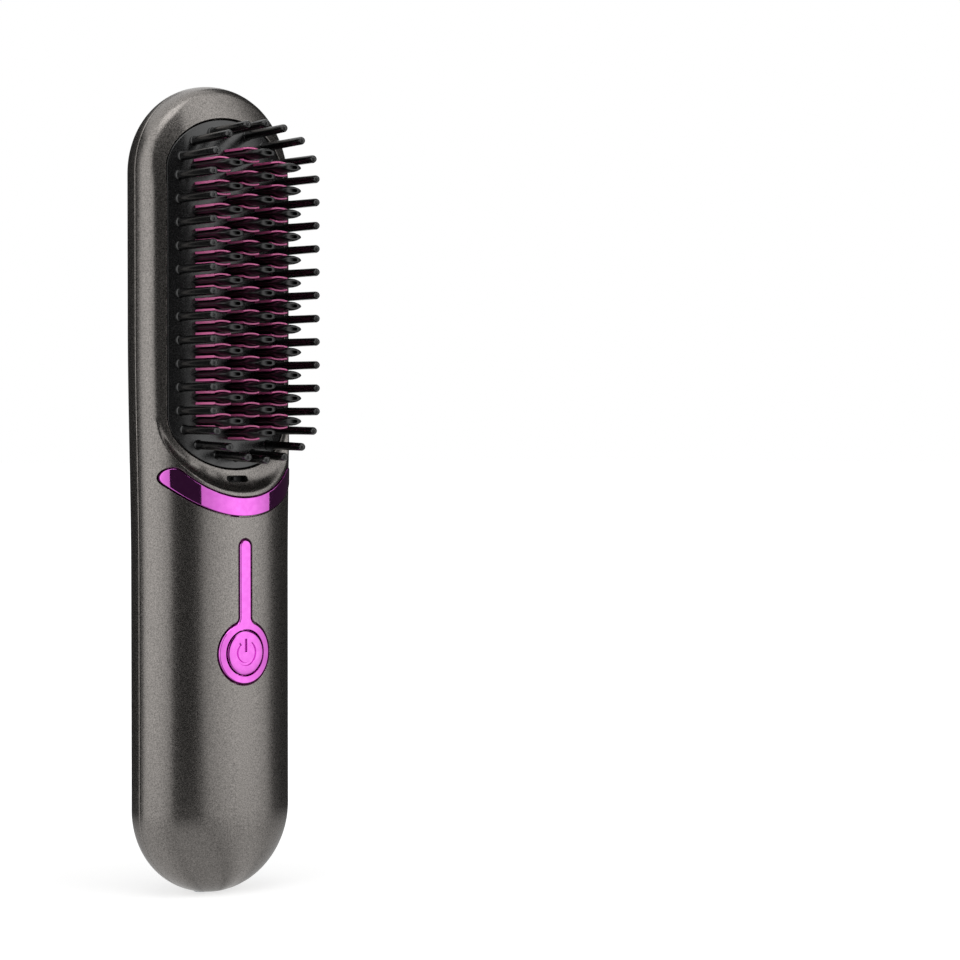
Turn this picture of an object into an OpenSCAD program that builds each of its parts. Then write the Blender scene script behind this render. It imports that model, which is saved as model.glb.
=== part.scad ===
// Cordless hair straightening brush, upright: +Z along its length, bristles facing -Y.
// The origin is the centre of the charging end, on the plane where the two shells meet.

/* [Body] */
// Length of the whole body
body_len = 190; // [180:1:200]
// Width of the handle
handle_w = 40.6; // [38.6:0.2:42.6]
// Width of the head
head_w = 42.4; // [41.4:0.2:44.4]
// Depth of the front shell, from the parting plane
front_depth = 13.8; // [13.6:0.1:15.5]
// Depth of the back shell, from the parting plane
back_depth = 12.8; // [12.7:0.1:14.5]
// Squareness of the cross-section, where 2 is an ellipse
section_n = 2.15; // [2:0.05:2.4]
// Height where the handle starts to widen
taper_lo = 76; // [60:1:90]
// Height where the head reaches its full width
taper_hi = 133; // [115:1:145]
// Wall of both shells
wall = 2; // [1.6:0.1:2.2]

/* [Comb opening] */
// Width of the opening for the comb
open_w = 34.3; // [33.5:0.1:35.5]
// Height of the lower edge of the opening
open_lo = 99.9; // [99.5:0.1:101]
// Height of the upper edge of the opening
open_hi = 182; // [181:0.1:183]
// Height of the curved lower end of the opening
open_lo_rise = 12.6; // [11:0.1:14]
// Height of the curved upper end of the opening
open_hi_rise = 13.3; // [12:0.1:15]
// How far the lowered deck round the comb stands above the comb's crown
deck_rise = 0.3; // [0.2:0.05:0.5]
// Half width of the rounded lower end of the deck
deck_half_w = 19.2; // [18.6:0.1:19.6]
// Lowest point of the deck, at the scoop's lip
scoop_lo = 95.5; // [95:0.1:96.5]
// Width of the slot in the scoop
ion_slot_w = 5.9; // [4:0.1:8]
// Height of the slot in the scoop
ion_slot_h = 1.2; // [0.8:0.1:1.6]

/* [Comb] */
// Front of the comb plate at its middle, from the parting plane
comb_crest = 10.2; // [9.8:0.1:10.6]
// Radius of the comb plate's crown, side to side
crown_r = 47; // [40:1:60]
// Thickness of the comb plate
comb_t = 1.3; // [1:0.1:1.5]
// Pitch of the teeth along the brush
tooth_pitch = 5.36; // [5.2:0.01:5.5]
// Height of the middle of the comb of teeth
tooth_mid = 140.7; // [140:0.1:141.5]
// Teeth in the middle row
tooth_count = 13; // [9:2:13]
// Distance from the middle row to each side row
row_gap = 8.3; // [8.1:0.05:8.6]
// Length of a tooth's lens-shaped section
tooth_len = 6.5; // [5.5:0.1:6.7]
// Thickness of a tooth's lens-shaped section
tooth_t = 2.2; // [1.6:0.1:2.3]
// Tip of the middle row, from the parting plane
tooth_tip = 22.5; // [20:0.1:25]
// How much lower the tips of the side rows are
side_tip_drop = 1.1; // [0:0.1:3]
// Tip of the heated fins, from the parting plane
fin_tip = 16.2; // [13:0.1:18]
// Width of a heated fin
fin_w = 4.7; // [3.5:0.1:5]
// Thickness of a heated fin
fin_t = 0.5; // [0.4:0.05:0.6]
// Radius of a guard pin at its foot
pin_r = 1.02; // [0.8:0.01:1.1]
// Radius of a guard pin at its tip
pin_tip_r = 0.94; // [0.7:0.01:1]
// Tips of the guard pins, from the parting plane
pin_tip = 22.5; // [20:0.1:24.5]
// Distance from the edge of the opening to the feet of the guard pins
pin_inset = 3; // [2.8:0.1:3.4]
// Outward lean of the guard pins in degrees
pin_lean = 3; // [0:0.5:5]
// Guard pins on each long side
side_pins = 11; // [7:1:11]
// Pitch of the guard pins along a side
pin_pitch = 5.43; // [5.2:0.01:5.5]

/* [Trims] */
// Width of the crescent trim
crescent_w = 4.4; // [3:0.1:4.6]
// Radius of the crescent's middle line
crescent_r = 24; // [22:0.1:26]
// Lowest point of the crescent's middle line
crescent_lo = 91.3; // [90.5:0.1:91.6]
// Half the angle that the crescent spans, in degrees
crescent_half = 44.5; // [38:0.5:46]
// How far the trims stand proud of the shell
trim_proud = 0.2; // [0.1:0.05:0.4]
// Thickness of the trims
trim_t = 1.2; // [0.9:0.1:1.3]
// Outer radius of the ring round the button
ring_r = 7.4; // [7.2:0.1:9]
// Height of the button's centre
button_s = 57.3; // [50:0.1:62]
// Width of the keyhole's stem
stem_w = 3.5; // [2.5:0.1:4.5]
// Height of the stem's upper end
stem_hi = 83.8; // [76:0.1:85]

/* [Button and switch] */
// Radius of the button's cap
cap_r = 5.1; // [4.5:0.1:5.2]
// Gap between the cap and the ring
cap_gap = 0.25; // [0.2:0.05:0.3]
// Travel of the button
button_travel = 0.5; // [0.3:0.05:0.5]
// Thickness of the cap's flange
flange_t = 0.65; // [0.5:0.05:0.7]
// Width of the flange outside the cap
flange_w = 1.4; // [0.8:0.1:1.6]
// Radius of the switch's plunger
plunger_r = 1.0; // [0.8:0.05:1.3]
// Radial clearance of the plunger in the switch
plunger_fit = 0.05; // [0.03:0.01:0.1]
// Side of the square switch body
switch_side = 5.2; // [4.6:0.1:6]
// Height of the switch body
switch_t = 1.0; // [0.9:0.05:1.1]

/* [Inside] */
// Diameter of the battery cell
cell_d = 18.4; // [14:0.1:18.6]
// Length of the battery cell
cell_len = 65; // [50:0.5:65.5]
// Height of the battery cell's lower end
cell_foot = 16.3; // [16:0.1:17]
// Thickness of the control board
pcb_t = 1; // [0.8:0.1:1.2]
// Width of the control board
pcb_w = 22; // [20.6:0.2:22.6]
// Lower edge of the control board
pcb_lo = 24; // [20:1:30]
// Upper edge of the control board
pcb_hi = 92; // [88:0.5:92.5]
// Thickness of the heater plate
heater_t = 1.1; // [0.8:0.1:1.1]
// Thickness of the heating strips and of the teeth's carrier
strip_t = 1.5; // [1.2:0.1:1.5]
// Thickness of the mica sheet
mica_t = 0.4; // [0.3:0.1:0.5]
// Thickness of the heater frame
frame_t = 2.2; // [1.6:0.1:2.4]
// Radius of the screw wells in the back
well_r = 1.9; // [1.85:0.05:2.1]
// Radius of a shell screw's head
screw_head_r = 1.6; // [1.5:0.05:1.65]
// Radius of a shell screw's shaft
screw_r = 0.9; // [0.8:0.05:1]
// Length of a shell screw's shaft
screw_len = 6; // [5:0.5:6]
// Distance of the lower screws from the middle
low_screw_x = 13.9; // [13.7:0.1:14.1]
// Height of the lower screws
low_screw_s = 11.7; // [11.4:0.1:12.2]
// Distance of the upper screw from the top of the body
top_screw_in = 3.2; // [3.1:0.1:3.6]

/* [Hidden] */
$fn = 48;

// Clearances: a loose fit, a close fit, and a screw in its pilot hole
gap = 0.3;
snug = 0.15;
pilot_fit = 0.02;
// A little extra so that cuts pass right through
over = 0.5;

// Body outline
foot_r = handle_w / 2;
crown_end_r = head_w / 2;
foot_s = foot_r;
crown_s = body_len - crown_end_r;
arc_steps = 12;
side_steps = 8;
curve_steps = 10;

// Levels from the parting plane towards the front, through the head
frame_hi = 2.4;
frame_lo = frame_hi - frame_t;
mica_hi = frame_hi + mica_t;
strip_hi = mica_hi + strip_t;
heater_hi = strip_hi + heater_t;
ledge_hi = heater_hi + 0.2;
ledge_t = 1.6;
ledge_w = 0.9;
skirt_t = 1.4;
deck_wall = 1.6;
ion_slot_s = scoop_lo + 2.3;

// Levels through the handle, behind the button
cell_gap = 0.3;
cell_mid = cell_d / 2 + cell_gap - (back_depth - wall);
pcb_lo_d = cell_mid + cell_d / 2 + cell_gap;
pcb_hi_d = pcb_lo_d + pcb_t;
switch_hi = pcb_hi_d + switch_t;
plunger_lo = pcb_hi_d + button_travel + 0.05;
plunger_hi = switch_hi + button_travel + 0.1;
cap_lo = plunger_hi + 0.05;
flange_hi = cap_lo + flange_t;
land_d = flange_hi + snug;
land_r = cap_r + flange_w + 1.4;
cap_hi = front_depth + trim_proud;
// Wall that stays behind the crescent's seat
band_t = 1;
symbol_r = 2.6;
symbol_w = 0.7;
symbol_deep = 0.3;

// Teeth and fins
side_count = tooth_count - 1;
tooth_lo = tooth_mid - (tooth_count - 1) / 2 * tooth_pitch;
teeth = [
    for (i = [0:tooth_count - 1]) [0, tooth_lo + i * tooth_pitch, tooth_tip],
    for (x = [-row_gap, row_gap], i = [0:side_count - 1])
        [x, tooth_lo + (i + 0.5) * tooth_pitch, tooth_tip - side_tip_drop],
];
tip_step = 0.35;
dimple = [1.8, 0.4, 0.5];
slot_gap = 0.2;
fin_out = tooth_t / 2 + slot_gap + 0.05 + fin_t;
fin_bow = 0.6;
fin_r = (pow(fin_w / 2, 2) + pow(fin_bow, 2)) / (2 * fin_bow);
comb_hole_len = tooth_len + 0.6;
comb_hole_t = 2 * (fin_out + gap);

// Guard pins: their feet follow the opening, an inset inside its edge
pin_mid = (open_lo + open_lo_rise + open_hi - open_hi_rise) / 2 + 0.1;
end_pin_angles = [20, 45, 69, 90, 111, 135, 160];

// Screw places
comb_screws = [
    for (x = [-6.2, 6.2], s = [open_lo + 4.5, open_hi - 4.6]) [x, s],
];
comb_boss_r = 2.1;
frame_screw_x = 14.2;
frame_screw_s = [24, 84];
frame_boss_r = 2.1;
small_r = 0.8;
small_head_r = 1.45;
small_head_t = 1;
low_screws = [[-low_screw_x, low_screw_s], [low_screw_x, low_screw_s]];
shell_screw_places = concat(low_screws, [[0, body_len - top_screw_in]]);
screw_seat = -2;
screw_head_t = 1.3;
well_floor = screw_seat - screw_head_t - 0.1;
head_fit = 0.1;
shell_boss_r = 2.8;

// Charging port
port_w = 8.94;
port_t = 3.26;
port_wall = 0.3;
port_lo = 0.3;
port_hi = 7.6;
board_t = 1;
board_hi = port_hi + board_t;
board_size = [18, 10];

// Chassis and cell
rail_x = cell_d / 2 + 0.4;
rail_t = 2.4;
thin_rail_t = 1;
rail_lo_d = cell_mid - 5;
end_wall_t = 1.6;
pad_t = 1;
tab_t = 0.3;
end_lo = cell_foot - tab_t - pad_t - end_wall_t;
cell_lo = cell_foot;
cell_hi = cell_lo + cell_len;
end_hi = cell_hi + tab_t + pad_t;
rail_step = low_screw_s + shell_boss_r + 0.7;
ear_lo = 0.5;
ear_hi = 2;
pcb_screw_places = [[-8.3, 89], [8.3, 89]];
pcb_post_r = 1.9;
wire_r = 0.55;

// Colours
shell_grey = "#8f8a82";
accent_pink = "#e240d6";
comb_black = "#1d1d1f";
fin_pink = "#d8588c";
steel = "#b8babd";
board_green = "#1f5a3a";
frame_black = "#2c2c2e";

// Share of the way from the handle's width to the head's width
function ease(t) = let (c = min(max(t, 0), 1)) c * c * (3 - 2 * c);
function half_w(s) =
    (handle_w + (head_w - handle_w) * ease((s - taper_lo) / (taper_hi - taper_lo))) / 2;

// Stations from the foot to the crown: half width, height, and height of the spine point
function stations(grow) = concat(
    [for (i = [0:arc_steps]) let (a = 90 * i / arc_steps)
        [(foot_r + grow) * sin(a), foot_s - (foot_r + grow) * cos(a), foot_s]],
    [for (j = [1:side_steps - 1]) let (s = foot_s + (crown_s - foot_s) * j / side_steps)
        [half_w(s) + grow, s, s]],
    [for (i = [arc_steps:-1:0]) let (a = 90 * i / arc_steps)
        [(crown_end_r + grow) * sin(a), crown_s + (crown_end_r + grow) * cos(a), crown_s]]
);

// One cross-section: a half superellipse from right to left, closed below the parting plane
function section(st, depth, under) = let (e = 2 / section_n) concat(
    [for (k = [0:curve_steps]) let (a = 90 * k / curve_steps, c = pow(cos(a), e))
        [st[0] * c, st[2] + (st[1] - st[2]) * c, depth * pow(sin(a), e)]],
    [for (k = [curve_steps - 1:-1:0]) let (a = 90 * k / curve_steps, c = pow(cos(a), e))
        [-st[0] * c, st[2] + (st[1] - st[2]) * c, depth * pow(sin(a), e)]],
    under > 0 ? [[-st[0], st[1], -under], [st[0], st[1], -under]] : []
);

// Joins rows of points into a closed skin, leaving out faces with no area
function has_area(p, t) = norm(cross(p[t[1]] - p[t[0]], p[t[2]] - p[t[0]])) > 0.000001;
function skin_faces(p, rows, cols) = [
    for (r = [0:rows - 2], c = [0:cols - 1])
        let (a = r * cols + c, b = r * cols + (c + 1) % cols)
            for (t = [[a, b, b + cols], [a, b + cols, a + cols]]) if (has_area(p, t)) t,
];
function flat(rows) = [for (r = rows) for (p = r) p];
module skin(rows) {
    p = flat(rows);
    polyhedron(p, skin_faces(p, len(rows), len(rows[0])));
}
module capped_skin(rows) {
    p = flat(rows);
    n = len(rows[0]);
    last = (len(rows) - 1) * n;
    ends = concat([[for (i = [n - 1:-1:0]) i]], [[for (i = [0:n - 1]) last + i]]);
    polyhedron(p, concat(skin_faces(p, len(rows), n), ends));
}

// Half of the body, grown outwards by a distance, with its flat side at the parting plane
module half_body(depth, grow = 0, under = 0) {
    skin([for (st = stations(grow)) section(st, depth + grow, under)]);
}

// Everything is drawn lying on its back (x across, y along, z to the front), then stood up
module stand() {
    rotate([90, 0, 0]) children();
}
// A flat outline as a slab between two levels
module slab(lo, hi) {
    translate([0, 0, lo]) linear_extrude(hi - lo) children();
}
// A round rod at a place, between two levels
module rod(at, r, lo, hi) {
    translate([at[0], at[1], lo]) cylinder(r = r, h = hi - lo);
}
// A block centred on x, between two heights and two levels
module block(w, s_lo, s_hi, lo, hi, x = 0) {
    translate([x - w / 2, s_lo, lo]) cube([w, s_hi - s_lo, hi - lo]);
}

// The comb opening with elliptical ends, grown outwards by a distance
function opening_points(grow) = let (
    w = open_w / 2 + grow,
    up = open_hi - open_hi_rise,
    down = open_lo + open_lo_rise
) concat(
    [for (a = [0:7.5:180]) [w * cos(a), up + (open_hi_rise + grow) * sin(a)]],
    [for (a = [180:7.5:360]) [w * cos(a), down + (open_lo_rise + grow) * sin(a)]]
);
module opening_2d(grow = 0) {
    polygon(opening_points(grow));
}
// Outline of the lowered deck: the full width of the head between two elliptical ends
deck_hi = open_hi + 8.2;
module deck_2d(grow = 0) {
    down = open_lo + open_lo_rise;
    up = open_hi - open_hi_rise;
    w = head_w / 2 + 1;
    translate([0, down]) scale([deck_half_w + grow, down - scoop_lo + grow]) circle(1, $fn = 96);
    translate([-w, down]) square([2 * w, up - down]);
    translate([0, up]) scale([w, deck_hi - up + grow]) circle(1, $fn = 96);
}
// What stands above the deck, which follows the comb's crown, down to a depth below it
module over_deck(deep) {
    difference() {
        slab(0, front_depth + 2 * over) deck_2d(deep);
        comb_under(deep - deck_rise, scoop_lo - 2 * wall, deck_hi + 2 * wall);
    }
}
module lens_2d(length, t) {
    r = (pow(length / 2, 2) + pow(t / 2, 2)) / t;
    intersection() {
        translate([0, t / 2 - r]) circle(r, $fn = 96);
        translate([0, r - t / 2]) circle(r, $fn = 96);
    }
}
module stadium_2d(length, t) {
    square([length - t, t], center = true);
    for (side = [-1, 1]) translate([side * (length - t) / 2, 0]) circle(t / 2);
}

// Outline of the crescent trim, grown outwards by a distance
module crescent_2d(grow = 0) {
    r = crescent_r;
    w = crescent_w / 2 + grow;
    reach = r * 2;
    translate([0, crescent_lo + r]) {
        intersection() {
            difference() {
                circle(r + w, $fn = 120);
                circle(r - w, $fn = 120);
            }
            polygon([[0, 0], [-reach * sin(crescent_half), -reach * cos(crescent_half)],
                [0, -reach * 1.5], [reach * sin(crescent_half), -reach * cos(crescent_half)]]);
        }
        for (side = [-1, 1])
            translate([side * r * sin(crescent_half), -r * cos(crescent_half)]) circle(w);
    }
}

// Outline of the keyhole trim, grown outwards by a distance, with small fillets at the neck
module keyhole_2d(grow = 0) {
    neck = 1.6;
    half = stem_w / 2 + neck;
    neck_s = sqrt(pow(ring_r + neck, 2) - pow(half, 2));
    translate([0, button_s]) {
        circle(ring_r + grow, $fn = 72);
        difference() {
            translate([-half, 0]) square([2 * half, neck_s]);
            if (grow < neck) for (side = [-1, 1]) translate([side * half, neck_s]) circle(neck - grow);
        }
    }
    translate([-stem_w / 2 - grow, button_s])
        square([stem_w + 2 * grow, stem_hi - stem_w / 2 - button_s]);
    translate([0, stem_hi - stem_w / 2]) circle(stem_w / 2 + grow);
}

// A layer that follows the front of the body between two offsets
module front_layer(inner, outer) {
    difference() {
        half_body(front_depth, outer);
        half_body(front_depth, inner, over);
    }
}

module front_shell() color(shell_grey) stand() {
    difference() {
        union() {
            half_body(front_depth);
            lip();
        }
        difference() {
            half_body(front_depth, -wall, over * 4);
            // What stays solid inside the front: bosses, skirt, scoop floor and button land
            lip();
            for (at = shell_screw_places) rod(at, shell_boss_r, 0, front_depth);
            for (x = [-frame_screw_x, frame_screw_x], s = frame_screw_s)
                rod([x, s], frame_boss_r, ear_hi, front_depth);
            slab(frame_hi, front_depth) opening_2d(skirt_t);
            over_deck(deck_wall);
            rod([0, button_s], land_r, land_d, front_depth);
            slab(land_d, front_depth) keyhole_2d(wall);
            intersection() {
                slab(0, front_depth) crescent_2d(0.8);
                front_layer(trim_proud - trim_t - band_t, 0);
            }
        }
        // Opening for the comb, with a ledge that its edge rests on
        slab(ledge_hi, front_depth + over) opening_2d();
        slab(frame_hi - over, ledge_hi + over) opening_2d(-ledge_w);
        slab(frame_hi - over, ledge_hi - ledge_t) opening_2d(0);
        over_deck(0);
        translate([0, ion_slot_s, 0]) slab(0, front_depth) stadium_2d(ion_slot_w, ion_slot_h);
        // Seats for the two trims and the hole for the button
        trim_seat() crescent_2d(snug);
        trim_seat() keyhole_2d(snug);
        rod([0, button_s], cap_r + cap_gap + 0.25, land_d - over, front_depth + over);
        rod([0, button_s], cap_r + flange_w + gap, 0, land_d);
        for (at = shell_screw_places) rod(at, screw_r + pilot_fit, -over, screw_len + screw_seat + 0.5);
        for (x = [-frame_screw_x, frame_screw_x], s = frame_screw_s)
            rod([x, s], small_r + pilot_fit, ear_hi - over, ear_hi + 4.4);
        port_hole();
    }
}

// Cuts an outline into the front of the body, as deep as a trim sits
module trim_seat() {
    difference() {
        slab(0, front_depth + over) children();
        half_body(front_depth, trim_proud - trim_t, over);
    }
}

// The lip that lines up the two shells, standing inside the back shell's rebate
lip_t = 0.8;
lip_h = 1.2;
module body_outline_2d(grow) {
    st = stations(grow);
    polygon(concat([for (p = st) [p[0], p[1]]], [for (i = [len(st) - 2:-1:1]) [-st[i][0], st[i][1]]]));
}
module lip() {
    slab(-lip_h, over) difference() {
        body_outline_2d(lip_t - wall);
        body_outline_2d(-wall + 0.05);
        for (at = shell_screw_places) translate(at) circle(shell_boss_r + 2 * gap);
        port_gap_2d();
    }
}
module port_gap_2d() {
    translate([0, wall]) square([port_w + 2, 2 * wall + 2], center = true);
}
module port_hole() {
    translate([0, 2 * wall, 0]) rotate([90, 0, 0]) linear_extrude(2 * wall + over)
        stadium_2d(port_w + 2 * gap, port_t + 2 * gap);
}

module back_shell() color(shell_grey) stand() {
    difference() {
        mirror([0, 0, 1]) half_body(back_depth);
        difference() {
            mirror([0, 0, 1]) half_body(back_depth, -wall, over);
            for (at = shell_screw_places) rod(at, shell_boss_r + 0.3, -back_depth, 0);
        }
        slab(-lip_h - snug, over) difference() {
            body_outline_2d(lip_t - wall + snug);
            body_outline_2d(-wall - 1);
            for (at = shell_screw_places) translate(at) circle(shell_boss_r + 0.1);
        }
        for (at = shell_screw_places) {
            rod(at, well_r, -back_depth - over, well_floor);
            rod(at, screw_head_r + head_fit, well_floor - over, screw_seat);
            rod(at, screw_r + snug, screw_seat - over, over);
        }
        port_hole();
    }
}

module accent_crescent() color(accent_pink) stand() {
    intersection() {
        slab(0, front_depth + 1) crescent_2d();
        front_layer(trim_proud - trim_t + 0.02, trim_proud);
    }
}

module keyhole_trim() color(accent_pink) stand() {
    difference() {
        intersection() {
            slab(0, front_depth + 1) keyhole_2d();
            front_layer(trim_proud - trim_t + 0.02, trim_proud);
        }
        rod([0, button_s], cap_r + cap_gap, 0, front_depth + 1);
    }
}

module power_button() color(accent_pink) stand() {
    difference() {
        translate([0, button_s, 0]) {
            rod([0, 0], cap_r, cap_lo, cap_hi - 0.3);
            rod([0, 0], cap_r - 0.3, cap_lo, cap_hi);
            rod([0, 0], cap_r + flange_w, cap_lo, flange_hi);
        }
        // Engraved power symbol: a broken ring and a bar
        translate([0, button_s, cap_hi - symbol_deep]) {
            rotate(90 + 35) rotate_extrude(angle = 290)
                translate([symbol_r - symbol_w / 2, 0]) square([symbol_w, 1]);
            translate([-symbol_w / 2, 0.8, 0]) cube([symbol_w, symbol_r - 0.2, 1]);
        }
    }
}

// Height of the comb plate's front at a point, with its upper end falling away
fall_s = 163;
fall_r = 64;
function fall(s) = s > fall_s ? fall_r - sqrt(pow(fall_r, 2) - pow(s - fall_s, 2)) : 0;
function comb_d(x, s) = comb_crest - crown_r + sqrt(pow(crown_r, 2) - x * x) - fall(s);

// Everything under the comb plate's front, lowered by a distance
module comb_under(down, s_lo = open_lo - 2, s_hi = open_hi + 2) {
    profile = concat([[s_lo, -5], [s_lo, comb_crest - down]],
        [for (i = [0:10]) let (s = fall_s + (s_hi - fall_s) * i / 10) [s, comb_crest - down - fall(s)]],
        [[s_hi, -5]]);
    intersection() {
        translate([0, 0, comb_crest - crown_r - down]) rotate([-90, 0, 0])
            cylinder(r = crown_r, h = body_len + 10, $fn = 180);
        rotate([90, 0, 90]) translate([0, 0, -open_w]) linear_extrude(2 * open_w) polygon(profile);
    }
}

// Feet of the guard pins with the direction in which they lean
function foot_at(a, top) = let (
    w = open_w / 2 - pin_inset,
    rise = (top ? open_hi_rise : open_lo_rise) - pin_inset,
    mid = top ? open_hi - open_hi_rise : open_lo + open_lo_rise,
    sgn = top ? 1 : -1
) [w * cos(a), mid + sgn * rise * sin(a), cos(a), sgn * sin(a)];
pin_feet = concat(
    [for (x = [-1, 1], i = [0:side_pins - 1])
        [x * (open_w / 2 - pin_inset), pin_mid + (i - (side_pins - 1) / 2) * pin_pitch, x, 0]],
    [for (a = end_pin_angles) foot_at(a, true)],
    [for (a = end_pin_angles) foot_at(a, false)]
);

module pin_2d(h) {
    intersection() {
        union() {
            polygon([[0, 0], [pin_r, 0], [pin_tip_r, h], [0, h]]);
            translate([0, h]) circle(pin_tip_r, $fn = 32);
        }
        square([2 * pin_r, h + 2 * pin_r]);
    }
}

module guard_pin(foot) {
    d = comb_d(foot[0], foot[1]);
    h = pin_tip - pin_tip_r - d + comb_t / 2;
    translate([foot[0], foot[1], d - comb_t / 2])
        rotate([-pin_lean * foot[3], pin_lean * foot[2], 0]) {
            rotate_extrude($fn = 32) pin_2d(h);
            cylinder(r = pin_r + 0.25, h = comb_t / 2 + 0.5, $fn = 32);
        }
}

module comb_plate() color(comb_black) stand() {
    difference() {
        union() {
            difference() {
                intersection() {
                    slab(ledge_hi + 0.05, comb_crest + 1) opening_2d(-0.25);
                    comb_under(0);
                }
                intersection() {
                    slab(0, comb_crest) opening_2d(-ledge_w - 0.35);
                    comb_under(comb_t);
                }
            }
            for (at = comb_screws) rod(at, comb_boss_r, frame_hi, comb_d(at[0], at[1]) - comb_t / 2);
            for (foot = pin_feet) guard_pin(foot);
        }
        slab(ledge_hi, comb_crest + 1) for (t = teeth)
            translate([t[0], t[1]]) lens_2d(comb_hole_len, comb_hole_t);
        for (at = comb_screws) rod(at, small_r + pilot_fit, frame_hi - over, frame_hi + 4);
    }
}

module comb_teeth() color(comb_black) stand() {
    slab(mica_hi, strip_hi) difference() {
        translate([-row_gap - tooth_len / 2 - 0.2, tooth_lo - 2.2])
            square([2 * row_gap + tooth_len + 0.4, (tooth_count - 1) * tooth_pitch + 4.4]);
        for (at = comb_screws) translate(at) circle(comb_boss_r + gap);
    }
    for (t = teeth) translate([t[0], t[1], 0]) difference() {
        union() {
            slab(strip_hi - 0.4, t[2] - 0.6) lens_2d(tooth_len, tooth_t);
            slab(t[2] - 1, t[2]) lens_2d(tooth_len - 3 * tip_step, tooth_t - 2 * tip_step);
        }
        translate([-dimple[0] / 2, -dimple[1] / 2, t[2] - dimple[2]]) cube(dimple * 1.0 + [0, 0, 1]);
    }
}

// A curved fin beside a tooth
module fin_2d() {
    intersection() {
        translate([0, fin_out - fin_r]) difference() {
            circle(fin_r, $fn = 96);
            circle(fin_r - fin_t, $fn = 96);
        }
        translate([-fin_w / 2, 0]) square([fin_w, fin_out + 1]);
    }
}

module heater_outline_2d(inset) {
    difference() {
        opening_2d(-ledge_w - inset);
        for (at = comb_screws) translate(at) circle(comb_boss_r + gap);
    }
}

module heater_plate() color(fin_pink) stand() {
    slab(strip_hi, heater_hi) difference() {
        heater_outline_2d(gap);
        for (t = teeth) translate([t[0], t[1]])
            lens_2d(tooth_len + 2 * slot_gap, tooth_t + 2 * slot_gap);
    }
    for (t = teeth) translate([t[0], t[1], 0]) slab(heater_hi - 0.4, fin_tip) {
        fin_2d();
        mirror([0, 1]) fin_2d();
    }
}

strip_x = [row_gap + tooth_len / 2 + 0.6, open_w / 2 - ledge_w - 0.6];
strip_s = [open_lo + open_lo_rise - 0.3, open_hi - open_hi_rise - 1.6];
strip_w = strip_x[1] - strip_x[0];
strip_mid = (strip_x[0] + strip_x[1]) / 2;

module heater_strips() color("white") stand() {
    for (side = [-1, 1]) block(strip_w, strip_s[0], strip_s[1], mica_hi, strip_hi, side * strip_mid);
}

module mica_sheet() color("#b99a5b") stand() {
    slab(frame_hi, mica_hi) difference() {
        heater_outline_2d(gap);
        for (x = [-strip_mid, strip_mid], s = [strip_s[0] - 3, strip_s[1] + 3])
            translate([x, s]) circle(1.3);
    }
}

frame_window = [12, 24];
frame_windows = [118, 148];

module heater_frame() color(frame_black) stand() {
    difference() {
        union() {
            slab(frame_lo, frame_hi) opening_2d(skirt_t - 0.5);
            // Walls of the pocket that holds the ion generator
            difference() {
                block(ion_w + 3, ion_lo - 1.5, ion_lo + ion_len + 1.5, frame_lo - 3, frame_hi - over);
                block(ion_w + 2 * snug, ion_lo - snug, ion_lo + ion_len + snug,
                    frame_lo - 3 - over, frame_lo);
            }
        }
        for (at = comb_screws) rod(at, small_r + snug, frame_lo - over, frame_hi + over);
        for (x = [-strip_mid, strip_mid], s = [strip_s[0] - 3, strip_s[1] + 3])
            rod([x, s], 1.3, frame_lo - over, frame_hi + over);
        for (s = frame_windows) block(frame_window[0], s, s + frame_window[1] - 6,
            frame_lo - over, frame_hi + over);
    }
}

// A small pan-head screw whose head lies below a level and whose shaft points to the front
module small_screw(at, seat, length) {
    difference() {
        union() {
            rod(at, small_head_r, seat - small_head_t, seat);
            rod(at, small_r, seat - 0.2, seat + length);
        }
        translate([at[0], at[1], seat - small_head_t]) cross_cut(1.6, 0.45, 0.5);
    }
}
// A cross recess cut upwards from a head
module cross_cut(length, w, deep) {
    for (a = [0, 90]) rotate(a) translate([-length / 2, -w / 2, -1]) cube([length, w, deep + 1]);
}

module heater_screws() color(steel) stand() {
    for (at = comb_screws) small_screw(at, frame_lo, frame_t + 3.6);
}

sensor_at = [-strip_mid, strip_s[1] + 3];
fuse_at = [strip_mid, strip_s[0] - 3];

module thermistor() color("#30302a") stand() {
    rod(sensor_at, 1, mica_hi, strip_hi);
}

module thermal_fuse() color("#c9c4ba") stand() {
    rod(fuse_at, 1.05, mica_hi, strip_hi);
}

ion_w = 20;
ion_len = 22;
ion_t = 7.6;
ion_lo = 120;

module ion_generator() color("#33415c") stand() {
    block(ion_w, ion_lo, ion_lo + ion_len, frame_lo - 0.1 - ion_t, frame_lo - 0.1);
}

emitter_hi = comb_crest + deck_rise - deck_wall - gap;
emitter_t = 2.4;

module ion_emitter() color("#3a3a3a") stand() {
    block(6, ion_slot_s - 2.4, ion_slot_s + 0.6, emitter_hi - emitter_t, emitter_hi);
    rod([0, ion_slot_s], 0.4, emitter_hi - 0.5, emitter_hi + 1.2);
}

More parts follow.
